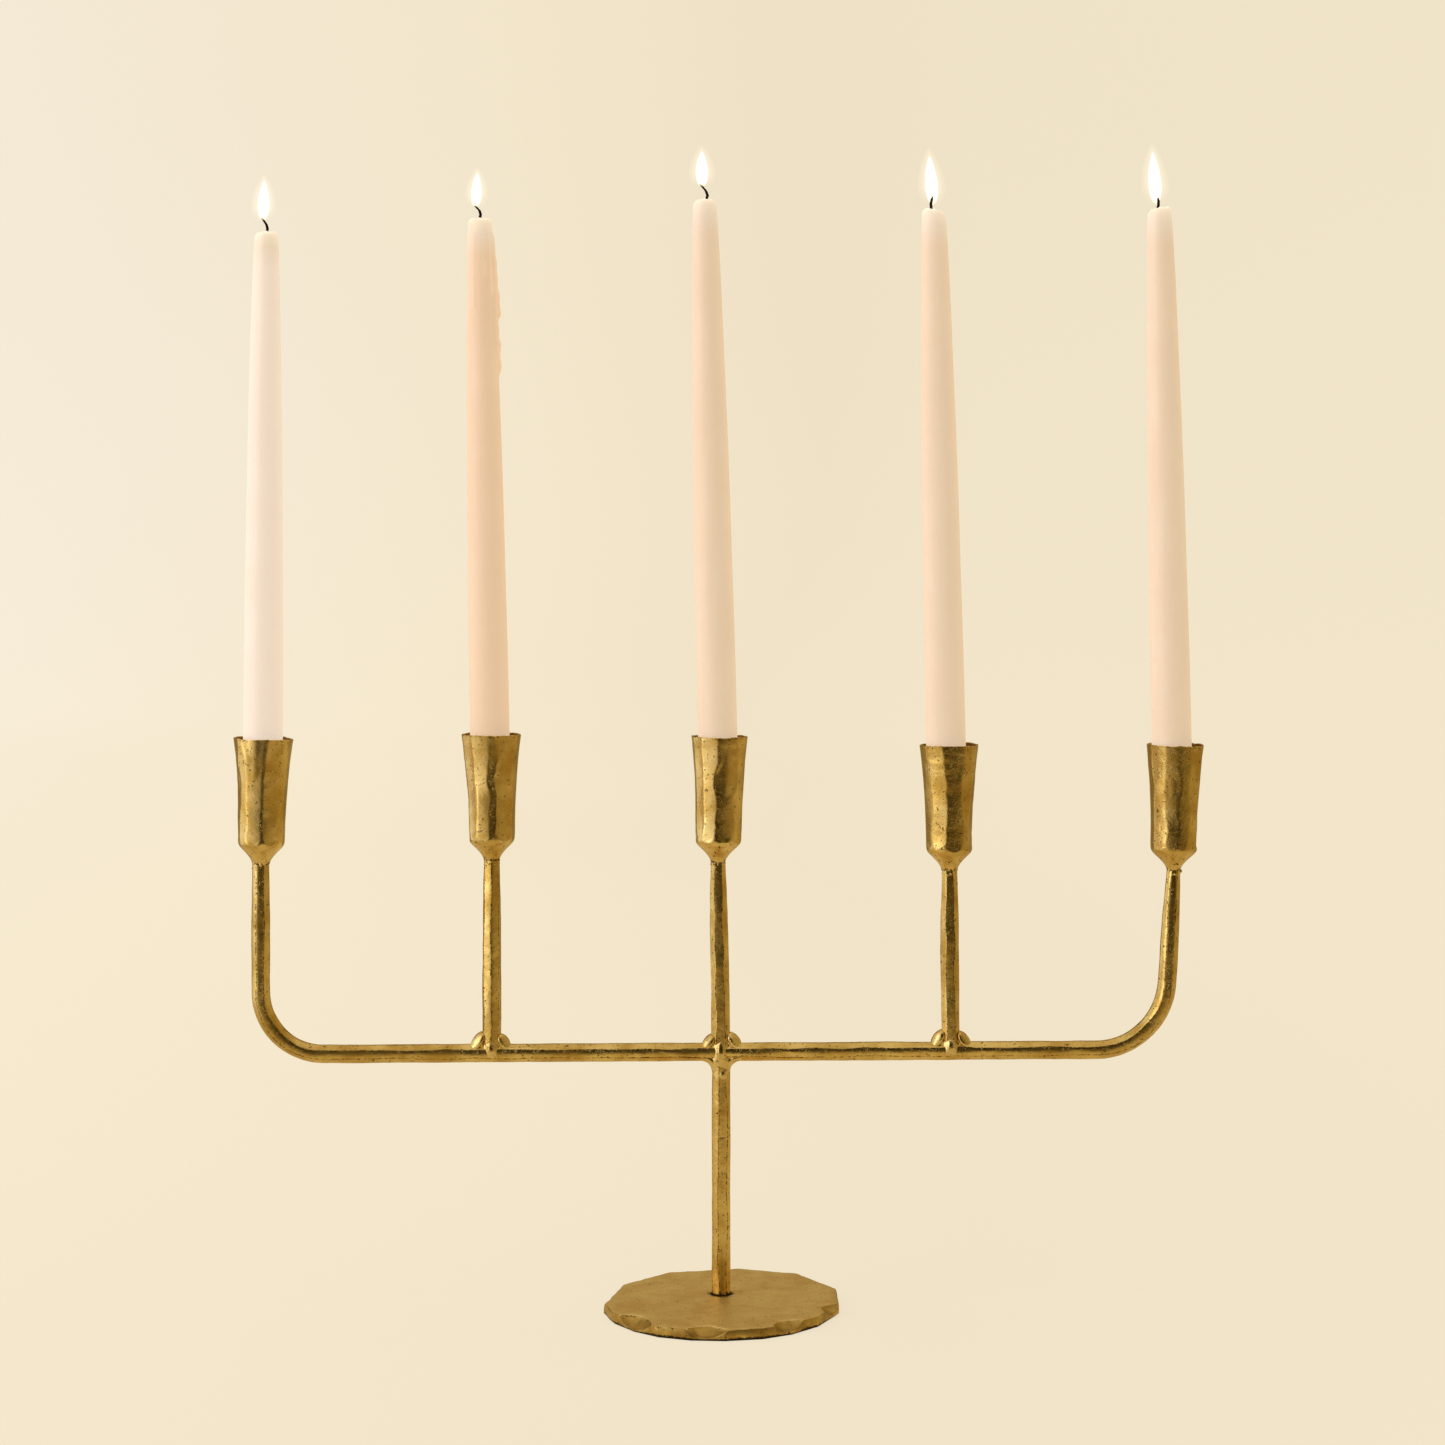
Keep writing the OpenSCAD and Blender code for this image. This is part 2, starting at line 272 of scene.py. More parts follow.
PLATE_TOP = 6.2 * MM
PLATE_BOTTOM = 1.2 * MM
SEAT_R = 5.5 * MM
SEAT_DEPTH = 1.5 * MM
SEAT_LIP = 0.25 * MM
# The bevel's small random bites, and how far it falls over each mm of its width.
BITE_COUNT = 34
BITE_LEAST = 0.5 * MM
BITE_SLOPE = 0.08
# The large bites in front: degrees from +X, half of the width in degrees, and depth in mm.
DEEP_BITES = ((229, 11, 9.5), (264, 9, 8.5), (300.5, 8, 8), (334, 8, 6))
DEEP_SLOPE = 0.42
DEEP_BURR = 0.03
LIP_IN = 0.7 * MM
LIP_DROP = 0.15 * MM
# The rounded lip: how far out and how far down each of its rings stands.
LIP_ROUND = ((0.16 * MM, 0.03 * MM), (0.34 * MM, 0.16 * MM), (0.44 * MM, 0.4 * MM))
SIDE_SWELL = 0.22 * MM
PLATE_AROUND = 720


def metal(name, light, dark, pit, rough, grain, lumps, speck):
    """Gilded iron: two tones in clouds, dark pits, dark patches where the mesh's marks call for them, which
    are partly grime and partly painted shade, and a grain and lumps given as (size, height) in mm. Rough is
    the roughness of its bright and of its dull places."""
    made, tree = blank_material(name)
    spot = add(tree, COORDINATES).outputs["Object"]
    cloud = add(tree, NOISE, [spot, 1000 / 16, 5.0, 0.65])
    tone = add(tree, RAMP, [cloud], [(0.36, linear(dark)), (0.62, linear(light))])
    spots = add(tree, NOISE, [spot, 1000 / 2, 3.0, 0.7])
    pitted = add(tree, RANGE, [spots, 0.61, 0.66, 0.0, speck])
    # The mesh's marks: partly grime, partly painted shade in recesses, at joints, along ridges and under
    # edges.
    marked = add(tree, ATTRIBUTE, attribute_name="grime_and_shade").outputs["Fac"]
    patches = add(tree, NOISE, [spot, 1000 / 1.6, 4.0])
    soiled_and_shaded = add(tree, "MULTIPLY_ADD", [marked, 0.5, patches])
    grime_and_shade = add(tree, RANGE, [soiled_and_shaded, 0.74, 0.9, 0.0, 0.9])
    dirt_and_shade = add(tree, "MAXIMUM", [pitted, grime_and_shade])
    colour = add(tree, MIX, [dirt_and_shade, tone, linear(pit)], data_type="RGBA")
    dull = add(tree, RANGE, [cloud, 0.35, 0.65, rough[1], rough[0]])
    lump = add(tree, NOISE, [spot, 1000 / lumps[0], 2.0])
    fine = add(tree, NOISE, [spot, 1000 / grain[0], 3.0, 0.6])
    wave = add(tree, BUMP, {"Height": lump, "Distance": lumps[1] * MM})
    sand = add(tree, BUMP, {"Height": fine, "Distance": grain[1] * MM, "Normal": wave})
    pits = add(tree, BUMP, {"Height": pitted, "Distance": 0.12 * MM, "Normal": sand}, invert=True)
    shader = add(tree, PRINCIPLED, {
        "Base Color": colour,
        "Metallic": 1.0,
        "Roughness": dull,
        "Normal": pits,
    })
    add(tree, SURFACE, [shader])
    return made


# Rolled iron plate under rubbed gilding: a matt brown gold, with a faint mill mottle and dark spots.
plate_gilt = metal("gilded_rolled_plate", "#f5da98", "#e2be7c", "#5c4420",
                   (0.44, 0.58), (0.7, 0.03), (7, 0.09), 0.7)
# The same gilding over the hammered edge, grainy and less dull; its darker, browner tone is painted shade on
# the plate's side and on the steep faces of the deep bites.
shaded_edge_gilt = metal("gilded_hammered_edge_shaded", "#dab868", "#9a7634", "#2e1e08",
                  (0.32, 0.5), (0.9, 0.1), (2.4, 0.16), 0.9)

corner_points = np.array([v.co[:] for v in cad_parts["base_plate"].data.vertices])
corner_points = corner_points[np.hypot(corner_points[:, 0], corner_points[:, 1]) > 20 * MM]
corner_points = corner_points[corner_points[:, 2] < PLATE_BOTTOM + 0.1 * MM]
corner_turn = np.arctan2(corner_points[:, 1], corner_points[:, 0]) % (2 * math.pi)
corner_turn, first_of = np.unique(np.round(corner_turn, 5), return_index=True)
corner_r = np.hypot(corner_points[first_of, 0], corner_points[first_of, 1])


def plate_edge(turns):
    """The plate's radius at each turn, along the straight sides between its corners."""
    after = np.searchsorted(corner_turn, turns % (2 * math.pi)) % len(corner_turn)
    before = after - 1
    ra, rb = corner_r[before], corner_r[after]
    side = (corner_turn[after] - corner_turn[before]) % (2 * math.pi)
    gone = (turns - corner_turn[before]) % (2 * math.pi)
    return ra * rb * np.sin(side) / (rb * np.sin(side - gone) + ra * np.sin(gone))


def smooth_step(value, low, high):
    """0 below low, 1 above high, and a soft rise between them."""
    share = np.clip((value - low) / (high - low), 0, 1)
    return share * share * (3 - 2 * share)


def soft_noise(rng, count, waves):
    """A closed, even random wave round a circle, from about -1 to 1."""
    turns = turns_of(count)
    total = np.zeros(count)
    for n in waves:
        total += rng.normal() * np.cos(n * turns) + rng.normal() * np.sin(n * turns)
    return total / math.sqrt(len(waves) * 2)


def apart(turns, at):
    """The shortest way round from one turn to the others."""
    return (turns - at + math.pi) % (2 * math.pi) - math.pi


def paint(piece, label, values):
    """Stores one number for each point, for the piece's material to read."""
    piece.data.attributes.new(label, "FLOAT", "POINT").data.foreach_set("value", np.ravel(values))


rng = np.random.default_rng(11)
turns = turns_of(PLATE_AROUND)
bite = np.full(PLATE_AROUND, BITE_LEAST)
for at in 2 * math.pi * (np.arange(BITE_COUNT) + rng.uniform(-0.35, 0.35, BITE_COUNT)) / BITE_COUNT:
    reach = rng.uniform(0.6, 1.7) * MM
    half = math.radians(rng.uniform(5.5, 8.5))
    bite = np.maximum(bite, reach * (1 - (apart(turns, at) / half) ** 2))
deep = np.zeros(PLATE_AROUND)
for degrees, half, reach in DEEP_BITES:
    share = apart(turns, math.radians(degrees)) / math.radians(half)
    deep = np.maximum(deep, reach * MM * (1 - share ** 2))
bite = np.maximum(bite, deep)
edge = plate_edge(turns)
lip_r = edge + 0.12 * MM * soft_noise(rng, PLATE_AROUND, range(9, 40, 3)) - LIP_IN
lip_z = PLATE_TOP - LIP_DROP - BITE_SLOPE * bite - DEEP_SLOPE * deep
lip_z -= 0.07 * MM * soft_noise(rng, PLATE_AROUND, range(20, 90, 7))
bevel_r = edge - bite - LIP_IN
rings = [
    circle(0.6 * MM, turns, PLATE_TOP - SEAT_DEPTH),
    circle(SEAT_R, turns, PLATE_TOP - SEAT_DEPTH),
    circle(SEAT_R + 0.02 * MM, turns, PLATE_TOP - SEAT_LIP),
    circle(SEAT_R + SEAT_LIP, turns, PLATE_TOP),
]
top_start = len(rings)
inner_r = SEAT_R + SEAT_LIP + 0.05 * MM
for share in np.linspace(0.02, 1.0, 22):
    rings.append(circle(inner_r + (bevel_r - inner_r) * share, turns, PLATE_TOP))
bevel_start = len(rings)
for share in np.linspace(0.08, 1.0, 12):
    height = PLATE_TOP + (lip_z - PLATE_TOP) * (1.25 * share ** 0.8 - 0.25 * share ** 3)
    height += DEEP_BURR * deep * math.exp(-(share / 0.12) ** 2)
    rings.append(circle(bevel_r * (1 - share) + lip_r * share, turns, height))
lip_start = len(rings)
for out, down in LIP_ROUND:
    rings.append(circle(lip_r + out, turns, lip_z - down))
for share in np.linspace(0.12, 1.0, 9):
    radius = lip_r + out + (LIP_IN - out) * share + SIDE_SWELL * math.sin(math.pi * share)
    rings.append(circle(radius, turns, (lip_z - down) * (1 - share) + PLATE_BOTTOM * share))
plate_faces = tube_faces(len(rings), PLATE_AROUND, flip=True)
plate = mesh_object("base_disc", np.concatenate(rings), plate_faces, plate_gilt)
plate.data.materials.append(shaded_edge_gilt)
# The side and the steep bevel faces take the darker gilding: painted shade on the faces that turn away from
# the top.
steep = deep > 1.0 * MM
for number, face in enumerate(plate.data.polygons):
    ring, column = divmod(number - 1, PLATE_AROUND)
    face.material_index = int(ring >= lip_start - 1 or (ring >= bevel_start and bool(steep[column])))
    face.use_smooth = len(face.vertices) == 4
# Dark marks for the material, partly grime and partly painted shade: in the post's seat, at the creases of
# the top, the bevel and the lip, and growing towards the underside.
plate_dirt_and_shade = np.zeros((len(rings), PLATE_AROUND))
plate_dirt_and_shade[:top_start] = 1.0
plate_dirt_and_shade[top_start] = 0.55
plate_dirt_and_shade[bevel_start] = 0.25
plate_dirt_and_shade[lip_start:lip_start + 2] = 0.35
plate_dirt_and_shade[-3:] = np.array([0.4, 0.8, 1.0])[:, None]
paint(plate, "grime_and_shade", plate_dirt_and_shade)
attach(plate, "frame")
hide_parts("base_plate")


# ---------------------------------------------------------------- the felt and the screw
# A disc of black wool felt is glued under the plate. The countersunk steel screw that holds the post
# comes up through both; it keeps its plain turned shape.

# Pressed wool felt: black, without shine, with short fibres in every direction.
felt, tree = blank_material("pressed_wool_felt")
spot = add(tree, COORDINATES).outputs["Object"]
fibres = add(tree, NOISE, [spot, 1000 / 0.8, 4.0])
tone = add(tree, RAMP, [fibres], [(0.3, linear("#0d0b09")), (0.7, linear("#2a2420"))])
nap = add(tree, BUMP, {"Height": fibres, "Distance": 0.2 * MM})
shader = add(tree, PRINCIPLED, {
    "Base Color": tone,
    "Roughness": 0.95,
    "Sheen Weight": 0.3,
    "Normal": nap,
})
add(tree, SURFACE, [shader])

# Zinc-plated steel, turned: pale grey, with a fine grain and a soft gloss.
zinc = metal("zinc_plated_turned_steel", "#c4c6c8", "#a9acaf", "#77787a",
             (0.25, 0.38), (0.4, 0.02), (3, 0.02), 0.5)

for cad_name, finish in (("base_felt", felt), ("base_screw", zinc)):
    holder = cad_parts[cad_name]
    holder.data.materials.clear()
    holder.data.materials.append(finish)


# ---------------------------------------------------------------- the forged bars
# Round 10 mm iron bar, hammered along its length into long flats that meet in wandering ridges, then
# gilded: the post, one bar bent up at both ends, and three uprights, each drawn thinner at its top.

BAR_R = 5 * MM
BAR_Z = 137.4 * MM
BAR_TILT = math.radians(0.3)
REACH_LEFT = 245.6 * MM
REACH_RIGHT = 236 * MM
REACH_INNER = 122.4 * MM
BEND_LEFT = 33 * MM
BEND_RIGHT = 38 * MM
ARM_H = 100.4 * MM
DRAWN_LENGTH = 38 * MM
NECK_OVERLAP = 1.5 * MM
ROUTE_STEP = 2 * MM
BEND_STEPS = 24
ARMS = ("far_left", "inner_left", "centre", "inner_right", "far_right")


def per_arm(*values):
    """The values by arm, from the far left to the far right."""
    return dict(zip(ARMS, values))


ARM_X = per_arm(-REACH_LEFT, -REACH_INNER, 0.0, REACH_INNER, REACH_RIGHT)
ARM_LEAN = per_arm(0.6, 0.3, -0.9, -0.6, 2.7)
ARM_TRIM = per_arm(0.3, 2.5, 1.4, -2.9, -2.9)
NECK_R = per_arm(4.6 * MM, 4.2 * MM, 3.9 * MM, 4.2 * MM, 3.6 * MM)
RIDGE_SEED = {"inner_left": 8.0, "centre": 12.0, "inner_right": 17.0}
FOOT_SHADE_H = 2.2 * MM
SHARP_RIDGE = math.radians(22)


def leaning(degrees, right, up):
    """A step right and up, turned towards +X by that many degrees."""
    a = math.radians(degrees)
    return Vector((right * math.cos(a) + up * math.sin(a), 0, -right * math.sin(a) + up * math.cos(a)))


foot_of = {a: Vector((ARM_X[a], 0, BAR_Z + ARM_X[a] * math.tan(BAR_TILT))) for a in ARMS}
neck_of = {}
for a in ARMS:
    rise = ARM_H + ARM_TRIM[a] * MM + BAR_Z - foot_of[a].z
    neck_of[a] = foot_of[a] + Vector((rise * math.tan(math.radians(ARM_LEAN[a])), 0, rise))

# Forged iron under burnished gilding: bright flats, brown patches and dark pits, and painted shade along the
# ridges from the bar's marks.
bar_gilt = metal("gilded_forged_bar", "#efcf82", "#cba452", "#3a260a",
                 (0.22, 0.34), (0.9, 0.05), (3.5, 0.13), 0.8)


def node_group(name, numbers):
    """An empty geometry tree that takes a shape, these named numbers and a material."""
    tree = bpy.data.node_groups.new(name, "GeometryNodeTree")
    tree.interface.new_socket("Geometry", in_out="INPUT", socket_type="NodeSocketGeometry")
    for label, value in numbers.items():
        kind = "NodeSocketInt" if isinstance(value, int) else "NodeSocketFloat"
        tree.interface.new_socket(label, in_out="INPUT", socket_type=kind).default_value = value
    tree.interface.new_socket("Material", in_out="INPUT", socket_type="NodeSocketMaterial")
    tree.interface.new_socket("Geometry", in_out="OUTPUT", socket_type="NodeSocketGeometry")
    return tree, add(tree, "NodeGroupInput").outputs


def made_by(tree, name, source, values):
    """The plain mesh that the tree makes from the source object's shape, with these named inputs."""
    modifier = source.modifiers.new(tree.name, "NODES")
    modifier.node_group = tree
    ids = {s.name: s.identifier for s in tree.interface.items_tree if s.in_out == "INPUT"}
    for label, value in values.items():
        modifier[ids[label]] = value
    mesh = final_mesh(source)
    mesh.name = name
    source.modifiers.remove(modifier)
    bpy.data.objects.remove(source)
    return in_scene(name, mesh)


# The bar's tree runs a circle of numbered points along the route, and puts each between the two ridges
# beside it: on the flat that joins them, on the round between them, or part of the way.
tree, given = node_group("hammered_bar", {
    "Facets": 7,
    "Points per facet": 7,
    "Ring spacing": 1.0 * MM,
    "Ridge wander": 0.9,
    "Wander length": 26 * MM,
    "Ridge height": 0.12,
    "Flatness": 0.6,
    "Dent depth": 0.3 * MM,
    "Dent size": 9 * MM,
    "Ridge shade": 0.8,
    "Seed": 0.0,
})
steps = add(tree, "GeometryNodeResampleCurve", {
    "Curve": given["Geometry"],
    "Length": given["Ring spacing"],
}, mode="LENGTH")
kept = add(tree, "GeometryNodeCaptureAttribute", {"Geometry": steps})
for label, kind, source in (
    ("centre", "VECTOR", add(tree, "GeometryNodeInputPosition").outputs[0]),
    ("side", "VECTOR", add(tree, "GeometryNodeInputNormal").outputs[0]),
    ("ahead", "VECTOR", add(tree, "GeometryNodeInputTangent").outputs[0]),
    ("along", "FLOAT", add(tree, "GeometryNodeSplineParameter").outputs["Length"]),
    ("thick", "FLOAT", add(tree, "GeometryNodeInputRadius").outputs[0]),
):
    kept.capture_items.new(kind, label)
    tree.links.new(source, kept.inputs[label])
round_points = add(tree, "MULTIPLY", [given["Facets"], given["Points per facet"]])
around = add(tree, "GeometryNodeCurvePrimitiveCircle", {"Resolution": round_points})
numbered = add(tree, "GeometryNodeCaptureAttribute", {"Geometry": around})
numbered.capture_items.new("FLOAT", "step")
tree.links.new(add(tree, "GeometryNodeInputIndex").outputs[0], numbered.inputs["step"])
tube = add(tree, "GeometryNodeCurveToMesh", {
    "Curve": kept,
    "Profile Curve": numbered,
    "Fill Caps": True,
})
nudged = add(tree, "ADD", [numbered.outputs["step"], 0.01])
nudged = add(tree, "DIVIDE", [nudged, given["Points per facet"]])
facet_of = add(tree, "FLOOR", [nudged])
counted = add(tree, "DIVIDE", [numbered.outputs["step"], given["Points per facet"]])
across = add(tree, "SUBTRACT", [counted, facet_of])
ahead, side, along = (kept.outputs[label] for label in ("ahead", "side", "along"))
other_side = add(tree, "VECTOR CROSS_PRODUCT", [ahead, side])


def out_from_centre(angle, reach):
    """The step from the bar's middle, at this turn and this far out."""
    parts = []
    for direction, wave in ((side, "COSINE"), (other_side, "SINE")):
        length = add(tree, "MULTIPLY", [add(tree, wave, [angle]), reach])
        parts.append(add(tree, "VECTOR SCALE", [direction, length]))
    return add(tree, "VECTOR ADD", parts)


ridge_at, ridge_turn, ridge_reach = [], [], []
for ahead_by in (0.0, 1.0):
    facet = add(tree, "ADD", [facet_of, ahead_by])
    number = add(tree, "MODULO", [facet, given["Facets"]])
    lane = add(tree, "MULTIPLY", [number, 7.31])
    length = add(tree, "DIVIDE", [along, given["Wander length"]])
    where = add(tree, "ShaderNodeCombineXYZ", [lane, length, given["Seed"]])
    elsewhere = add(tree, "VECTOR ADD", [where, (31.7, 5.3, 9.1)])
    wander = add(tree, NOISE, [where, 1.0, 1.5])
    wander = add(tree, "SUBTRACT", [wander, 0.5])
    wander = add(tree, "MULTIPLY", [wander, given["Ridge wander"]])
    angle = add(tree, "ADD", [facet, wander])
    angle = add(tree, "MULTIPLY", [angle, 2 * math.pi])
    angle = add(tree, "DIVIDE", [angle, given["Facets"]])
    swell = add(tree, NOISE, [elsewhere, 1.0, 1.0])
    swell = add(tree, "SUBTRACT", [swell, 0.38])
    swell = add(tree, "MULTIPLY_ADD", [swell, given["Ridge height"], 1.0])
    reach = add(tree, "MULTIPLY", [kept.outputs["thick"], swell])
    ridge_at.append(out_from_centre(angle, reach))
    ridge_turn.append(angle)
    ridge_reach.append(reach)
flat = add(tree, MIX, [across, *ridge_at], data_type="VECTOR")
part_turn = add(tree, MIX, [across, *ridge_turn])
part_reach = add(tree, MIX, [across, *ridge_reach])
rounded = out_from_centre(part_turn, part_reach)
out = add(tree, MIX, [given["Flatness"], rounded, flat], data_type="VECTOR")
on_ridge = add(tree, "LESS_THAN", [across, 0.01])
blunt = add(tree, "MULTIPLY_ADD", [on_ridge, -0.012, 1.0])
out = add(tree, "VECTOR SCALE", [out, blunt])
place = add(tree, "VECTOR ADD", [kept.outputs["centre"], out])
finer = add(tree, "DIVIDE", [1.0, given["Dent size"]])
dents = add(tree, NOISE, [place, finer, 2.0, 0.55])
dents = add(tree, "SUBTRACT", [dents, 0.5])
dents = add(tree, "MULTIPLY", [dents, given["Dent depth"]])
push = add(tree, "VECTOR NORMALIZE", [out])
push = add(tree, "VECTOR SCALE", [push, dents])
place = add(tree, "VECTOR ADD", [place, push])
put = add(tree, "GeometryNodeSetPosition", {"Geometry": tube, "Position": place})
# The ridges are marked for painted shade along them.
marked = add(tree, "GeometryNodeStoreNamedAttribute", {
    "Geometry": put,
    "Name": "grime_and_shade",
    "Value": add(tree, "MULTIPLY", [on_ridge, given["Ridge shade"]]),
}, data_type="FLOAT", domain="POINT")
smooth = add(tree, "GeometryNodeSetShadeSmooth", {"Geometry": marked}, domain="FACE")
bent = add(tree, "GeometryNodeInputMeshEdgeAngle")
creased = add(tree, "GeometryNodeSetShadeSmooth", {
    "Geometry": smooth,
    "Selection": add(tree, "GREATER_THAN", [bent, SHARP_RIDGE]),
    "Shade Smooth": False,
}, domain="EDGE")
real = add(tree, "GeometryNodeRealizeInstances", {"Geometry": creased})
painted = add(tree, "GeometryNodeSetMaterial", {"Geometry": real, "Material": given["Material"]})
add(tree, "NodeGroupOutput", {"Geometry": painted})
bar_tree = tree


def bar_along(name, route, radii, seed, flatness):
    """A hammered bar along the route, with its radius at each point; flatness is 0 for round, 1 for flats."""
    curve = bpy.data.curves.new(name + "_route", "CURVE")
    curve.dimensions = "3D"
    spline = curve.splines.new("POLY")
    spline.points.add(len(route) - 1)
    for point, at, radius in zip(spline.points, route, radii):
        point.co = (*at, 1.0)
        point.radius = radius
    source = in_scene(name + "_route", curve)
    bar = made_by(bar_tree, name, source, {"Seed": seed, "Flatness": flatness, "Material": bar_gilt})
    shell = bmesh.new()
    shell.from_mesh(bar.data)
    bmesh.ops.recalc_face_normals(shell, faces=shell.faces)
    shell.to_mesh(bar.data)
    shell.free()
    return bar


def between(start, end):
    """Points along a straight stretch."""
    count = max(2, int((end - start).length / ROUTE_STEP))
    return [start.lerp(end, k / count) for k in range(count + 1)]


def round_corner(before, corner, after, radius):
    """An arc of that radius in the corner, from the first leg to the second."""
    leg_in = (before - corner).normalized()
    leg_out = (after - corner).normalized()
    half = leg_in.angle(leg_out) / 2
    centre = corner + (leg_in + leg_out).normalized() * (radius / math.sin(half))
    start = corner + leg_in * (radius / math.tan(half)) - centre
    end = corner + leg_out * (radius / math.tan(half)) - centre
    return [centre + start.slerp(end, k / BEND_STEPS).normalized() * radius for k in range(BEND_STEPS + 1)]


def drawn(route, a):
    """The bar's radius along the route: full, and drawn down to the arm's neck over the last stretch."""
    radii = []
    for at in route:
        share = max(0.0, 1 - (neck_of[a] - at).length / DRAWN_LENGTH)
        radii.append(BAR_R + (NECK_R[a] - BAR_R) * share ** 1.3)
    return radii


bar_end = {a: neck_of[a] + (neck_of[a] - foot_of[a]).normalized() * NECK_OVERLAP for a in ARMS}
left_corner, right_corner = foot_of["far_left"], foot_of["far_right"]
left_arc = round_corner(neck_of["far_left"], left_corner, right_corner, BEND_LEFT)
right_arc = round_corner(left_corner, right_corner, neck_of["far_right"], BEND_RIGHT)
bar_route = between(bar_end["far_left"], left_arc[0])[:-1] + left_arc
bar_route += between(left_arc[-1], right_arc[0])[1:-1]
bar_route += right_arc + between(right_arc[-1], bar_end["far_right"])[1:]
middle = len(bar_route) // 2
bar_radii = drawn(bar_route[:middle], "far_left") + drawn(bar_route[middle:], "far_right")
long_bar = bar_along("long_bar", bar_route, bar_radii, 2.0, 0.5)
post_route = between(Vector((0, 0, PLATE_TOP - SEAT_DEPTH)), Vector((0, 0, BAR_Z)))
post = bar_along("post", post_route, [BAR_R] * len(post_route), 5.0, 0.35)
# Painted shade round the post's foot, where it stands in the plate's seat.
post_shade_marks = post.data.attributes["grime_and_shade"].data
for dirt_and_shade, vertex in zip(post_shade_marks, post.data.vertices):
    up = (vertex.co.z - PLATE_TOP) / FOOT_SHADE_H
    dirt_and_shade.value = max(dirt_and_shade.value, 0.95 * math.exp(-up * up))
for bar, cad_name in ((long_bar, "cross_bar"), (post, "lower_post")):
    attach(bar, "frame")
    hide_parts(cad_name)
for a, seed in RIDGE_SEED.items():
    route = between(foot_of[a], bar_end[a])
    upright = bar_along("upright_" + a, route, drawn(route, a), seed, 0.75)
    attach(upright, "frame")
    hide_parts("stem_" + a)


# ---------------------------------------------------------------- the candle cups
# Each cup is raised from sheet iron over a stake: a smooth hollow cone, then a flaring wall beaten into
# long uneven flats that end in scallops above the cone. The rim is left thin and a little ragged.

CUP_H = 66.8 * MM
CONE_H = 10 * MM
WAIST_R = 12.3 * MM
SOCKET_R = 11.9 * MM
SOCKET_DEPTH = 32 * MM
RIM_T = 1.3 * MM
RIM_DARKENING = 0.42
MOUTH_FLARE = per_arm(6.8, 7.6, 5.4, 7.2, 5.8)
CUP_LEAN = per_arm(1.7, -0.1, 0.7, -0.3, 0.4)
CUP_FACETS = per_arm(11, 11, 10, 10, 12)
CUP_SEED = per_arm(21, 22, 23, 24, 25)
SCALED_CUPS = ("inner_right", "far_right")
CUP_FACET_POINTS = 14
CUP_FLATNESS = 0.7
CUP_RING = 0.8 * MM
CUP_CREASE = math.radians(24)

# Raised sheet iron under burnished gilding: sharper and brighter than the bars, grainy in the dark.
cup_gilt = metal("gilded_raised_sheet", "#f0d08a", "#cfa854", "#33210a",
                 (0.2, 0.3), (0.7, 0.035), (4, 0.1), 0.7)
# The same sheet where fire scale was left under the gilding: a fine glittering grain in the dark flats.
scaled_gilt = metal("gilded_sheet_fire_scale", "#eccb80", "#c8a04e", "#2b1b07",
                    (0.2, 0.32), (1.0, 0.1), (3, 0.12), 0.9)
# The inside of the cups, out of reach of the burnisher: duller; its browner, darker tone is painted shade
# inside the cup.
shaded_inside_gilt = metal("gilded_inside_dull_shaded", "#9c6f2c", "#6d4a1a", "#2c1b07",
                    (0.4, 0.6), (0.8, 0.08), (4, 0.2), 0.8)


def wave_along(rng, heights, length):
    """A slow random wave up the cup, from about -1 to 1."""
    knots = np.arange(heights[0] - length, heights[-1] + 2 * length, length)
    values = rng.uniform(-1, 1, len(knots))
    place = (heights - knots[0]) / length
    low = place.astype(int)
    share = smooth_step(place - low, 0, 1)
    return values[low] * (1 - share) + values[low + 1] * share


def standing(origin, lean, points):
    """Points given round an upright axis, leaned and put at the origin."""
    a = math.radians(lean)
    turned = points.copy()
    turned[:, 0] = points[:, 0] * math.cos(a) + points[:, 2] * math.sin(a)
    turned[:, 2] = -points[:, 0] * math.sin(a) + points[:, 2] * math.cos(a)
    return turned + np.array(origin)


def cup_profile(a, heights):
    """The cup's radius at each height before it is beaten: a hollow cone, a soft shoulder and a flare."""
    rise = np.clip((heights - CONE_H) / (CUP_H - CONE_H), 0, 1)
    cone = NECK_R[a] + (WAIST_R - NECK_R[a]) * np.clip(heights / CONE_H, 0, 1) ** 1.6
    wall = WAIST_R + MOUTH_FLARE[a] / 2 * MM * (0.2 * rise + 0.8 * rise ** 2.6)
    outer = np.where(heights < CONE_H, cone, wall)
    fine = np.linspace(-4 * MM, CUP_H + 4 * MM, 1500)
    weight = np.exp(-(np.linspace(-2.6, 2.6, 151) ** 2) / 2)
    softened = np.convolve(np.interp(fine, heights, outer), weight / weight.sum(), "same")
    share = smooth_step(heights, 2 * MM, 6 * MM) * smooth_step(-heights, -22 * MM, -17 * MM)
    return outer * (1 - share) + np.interp(heights, fine, softened) * share


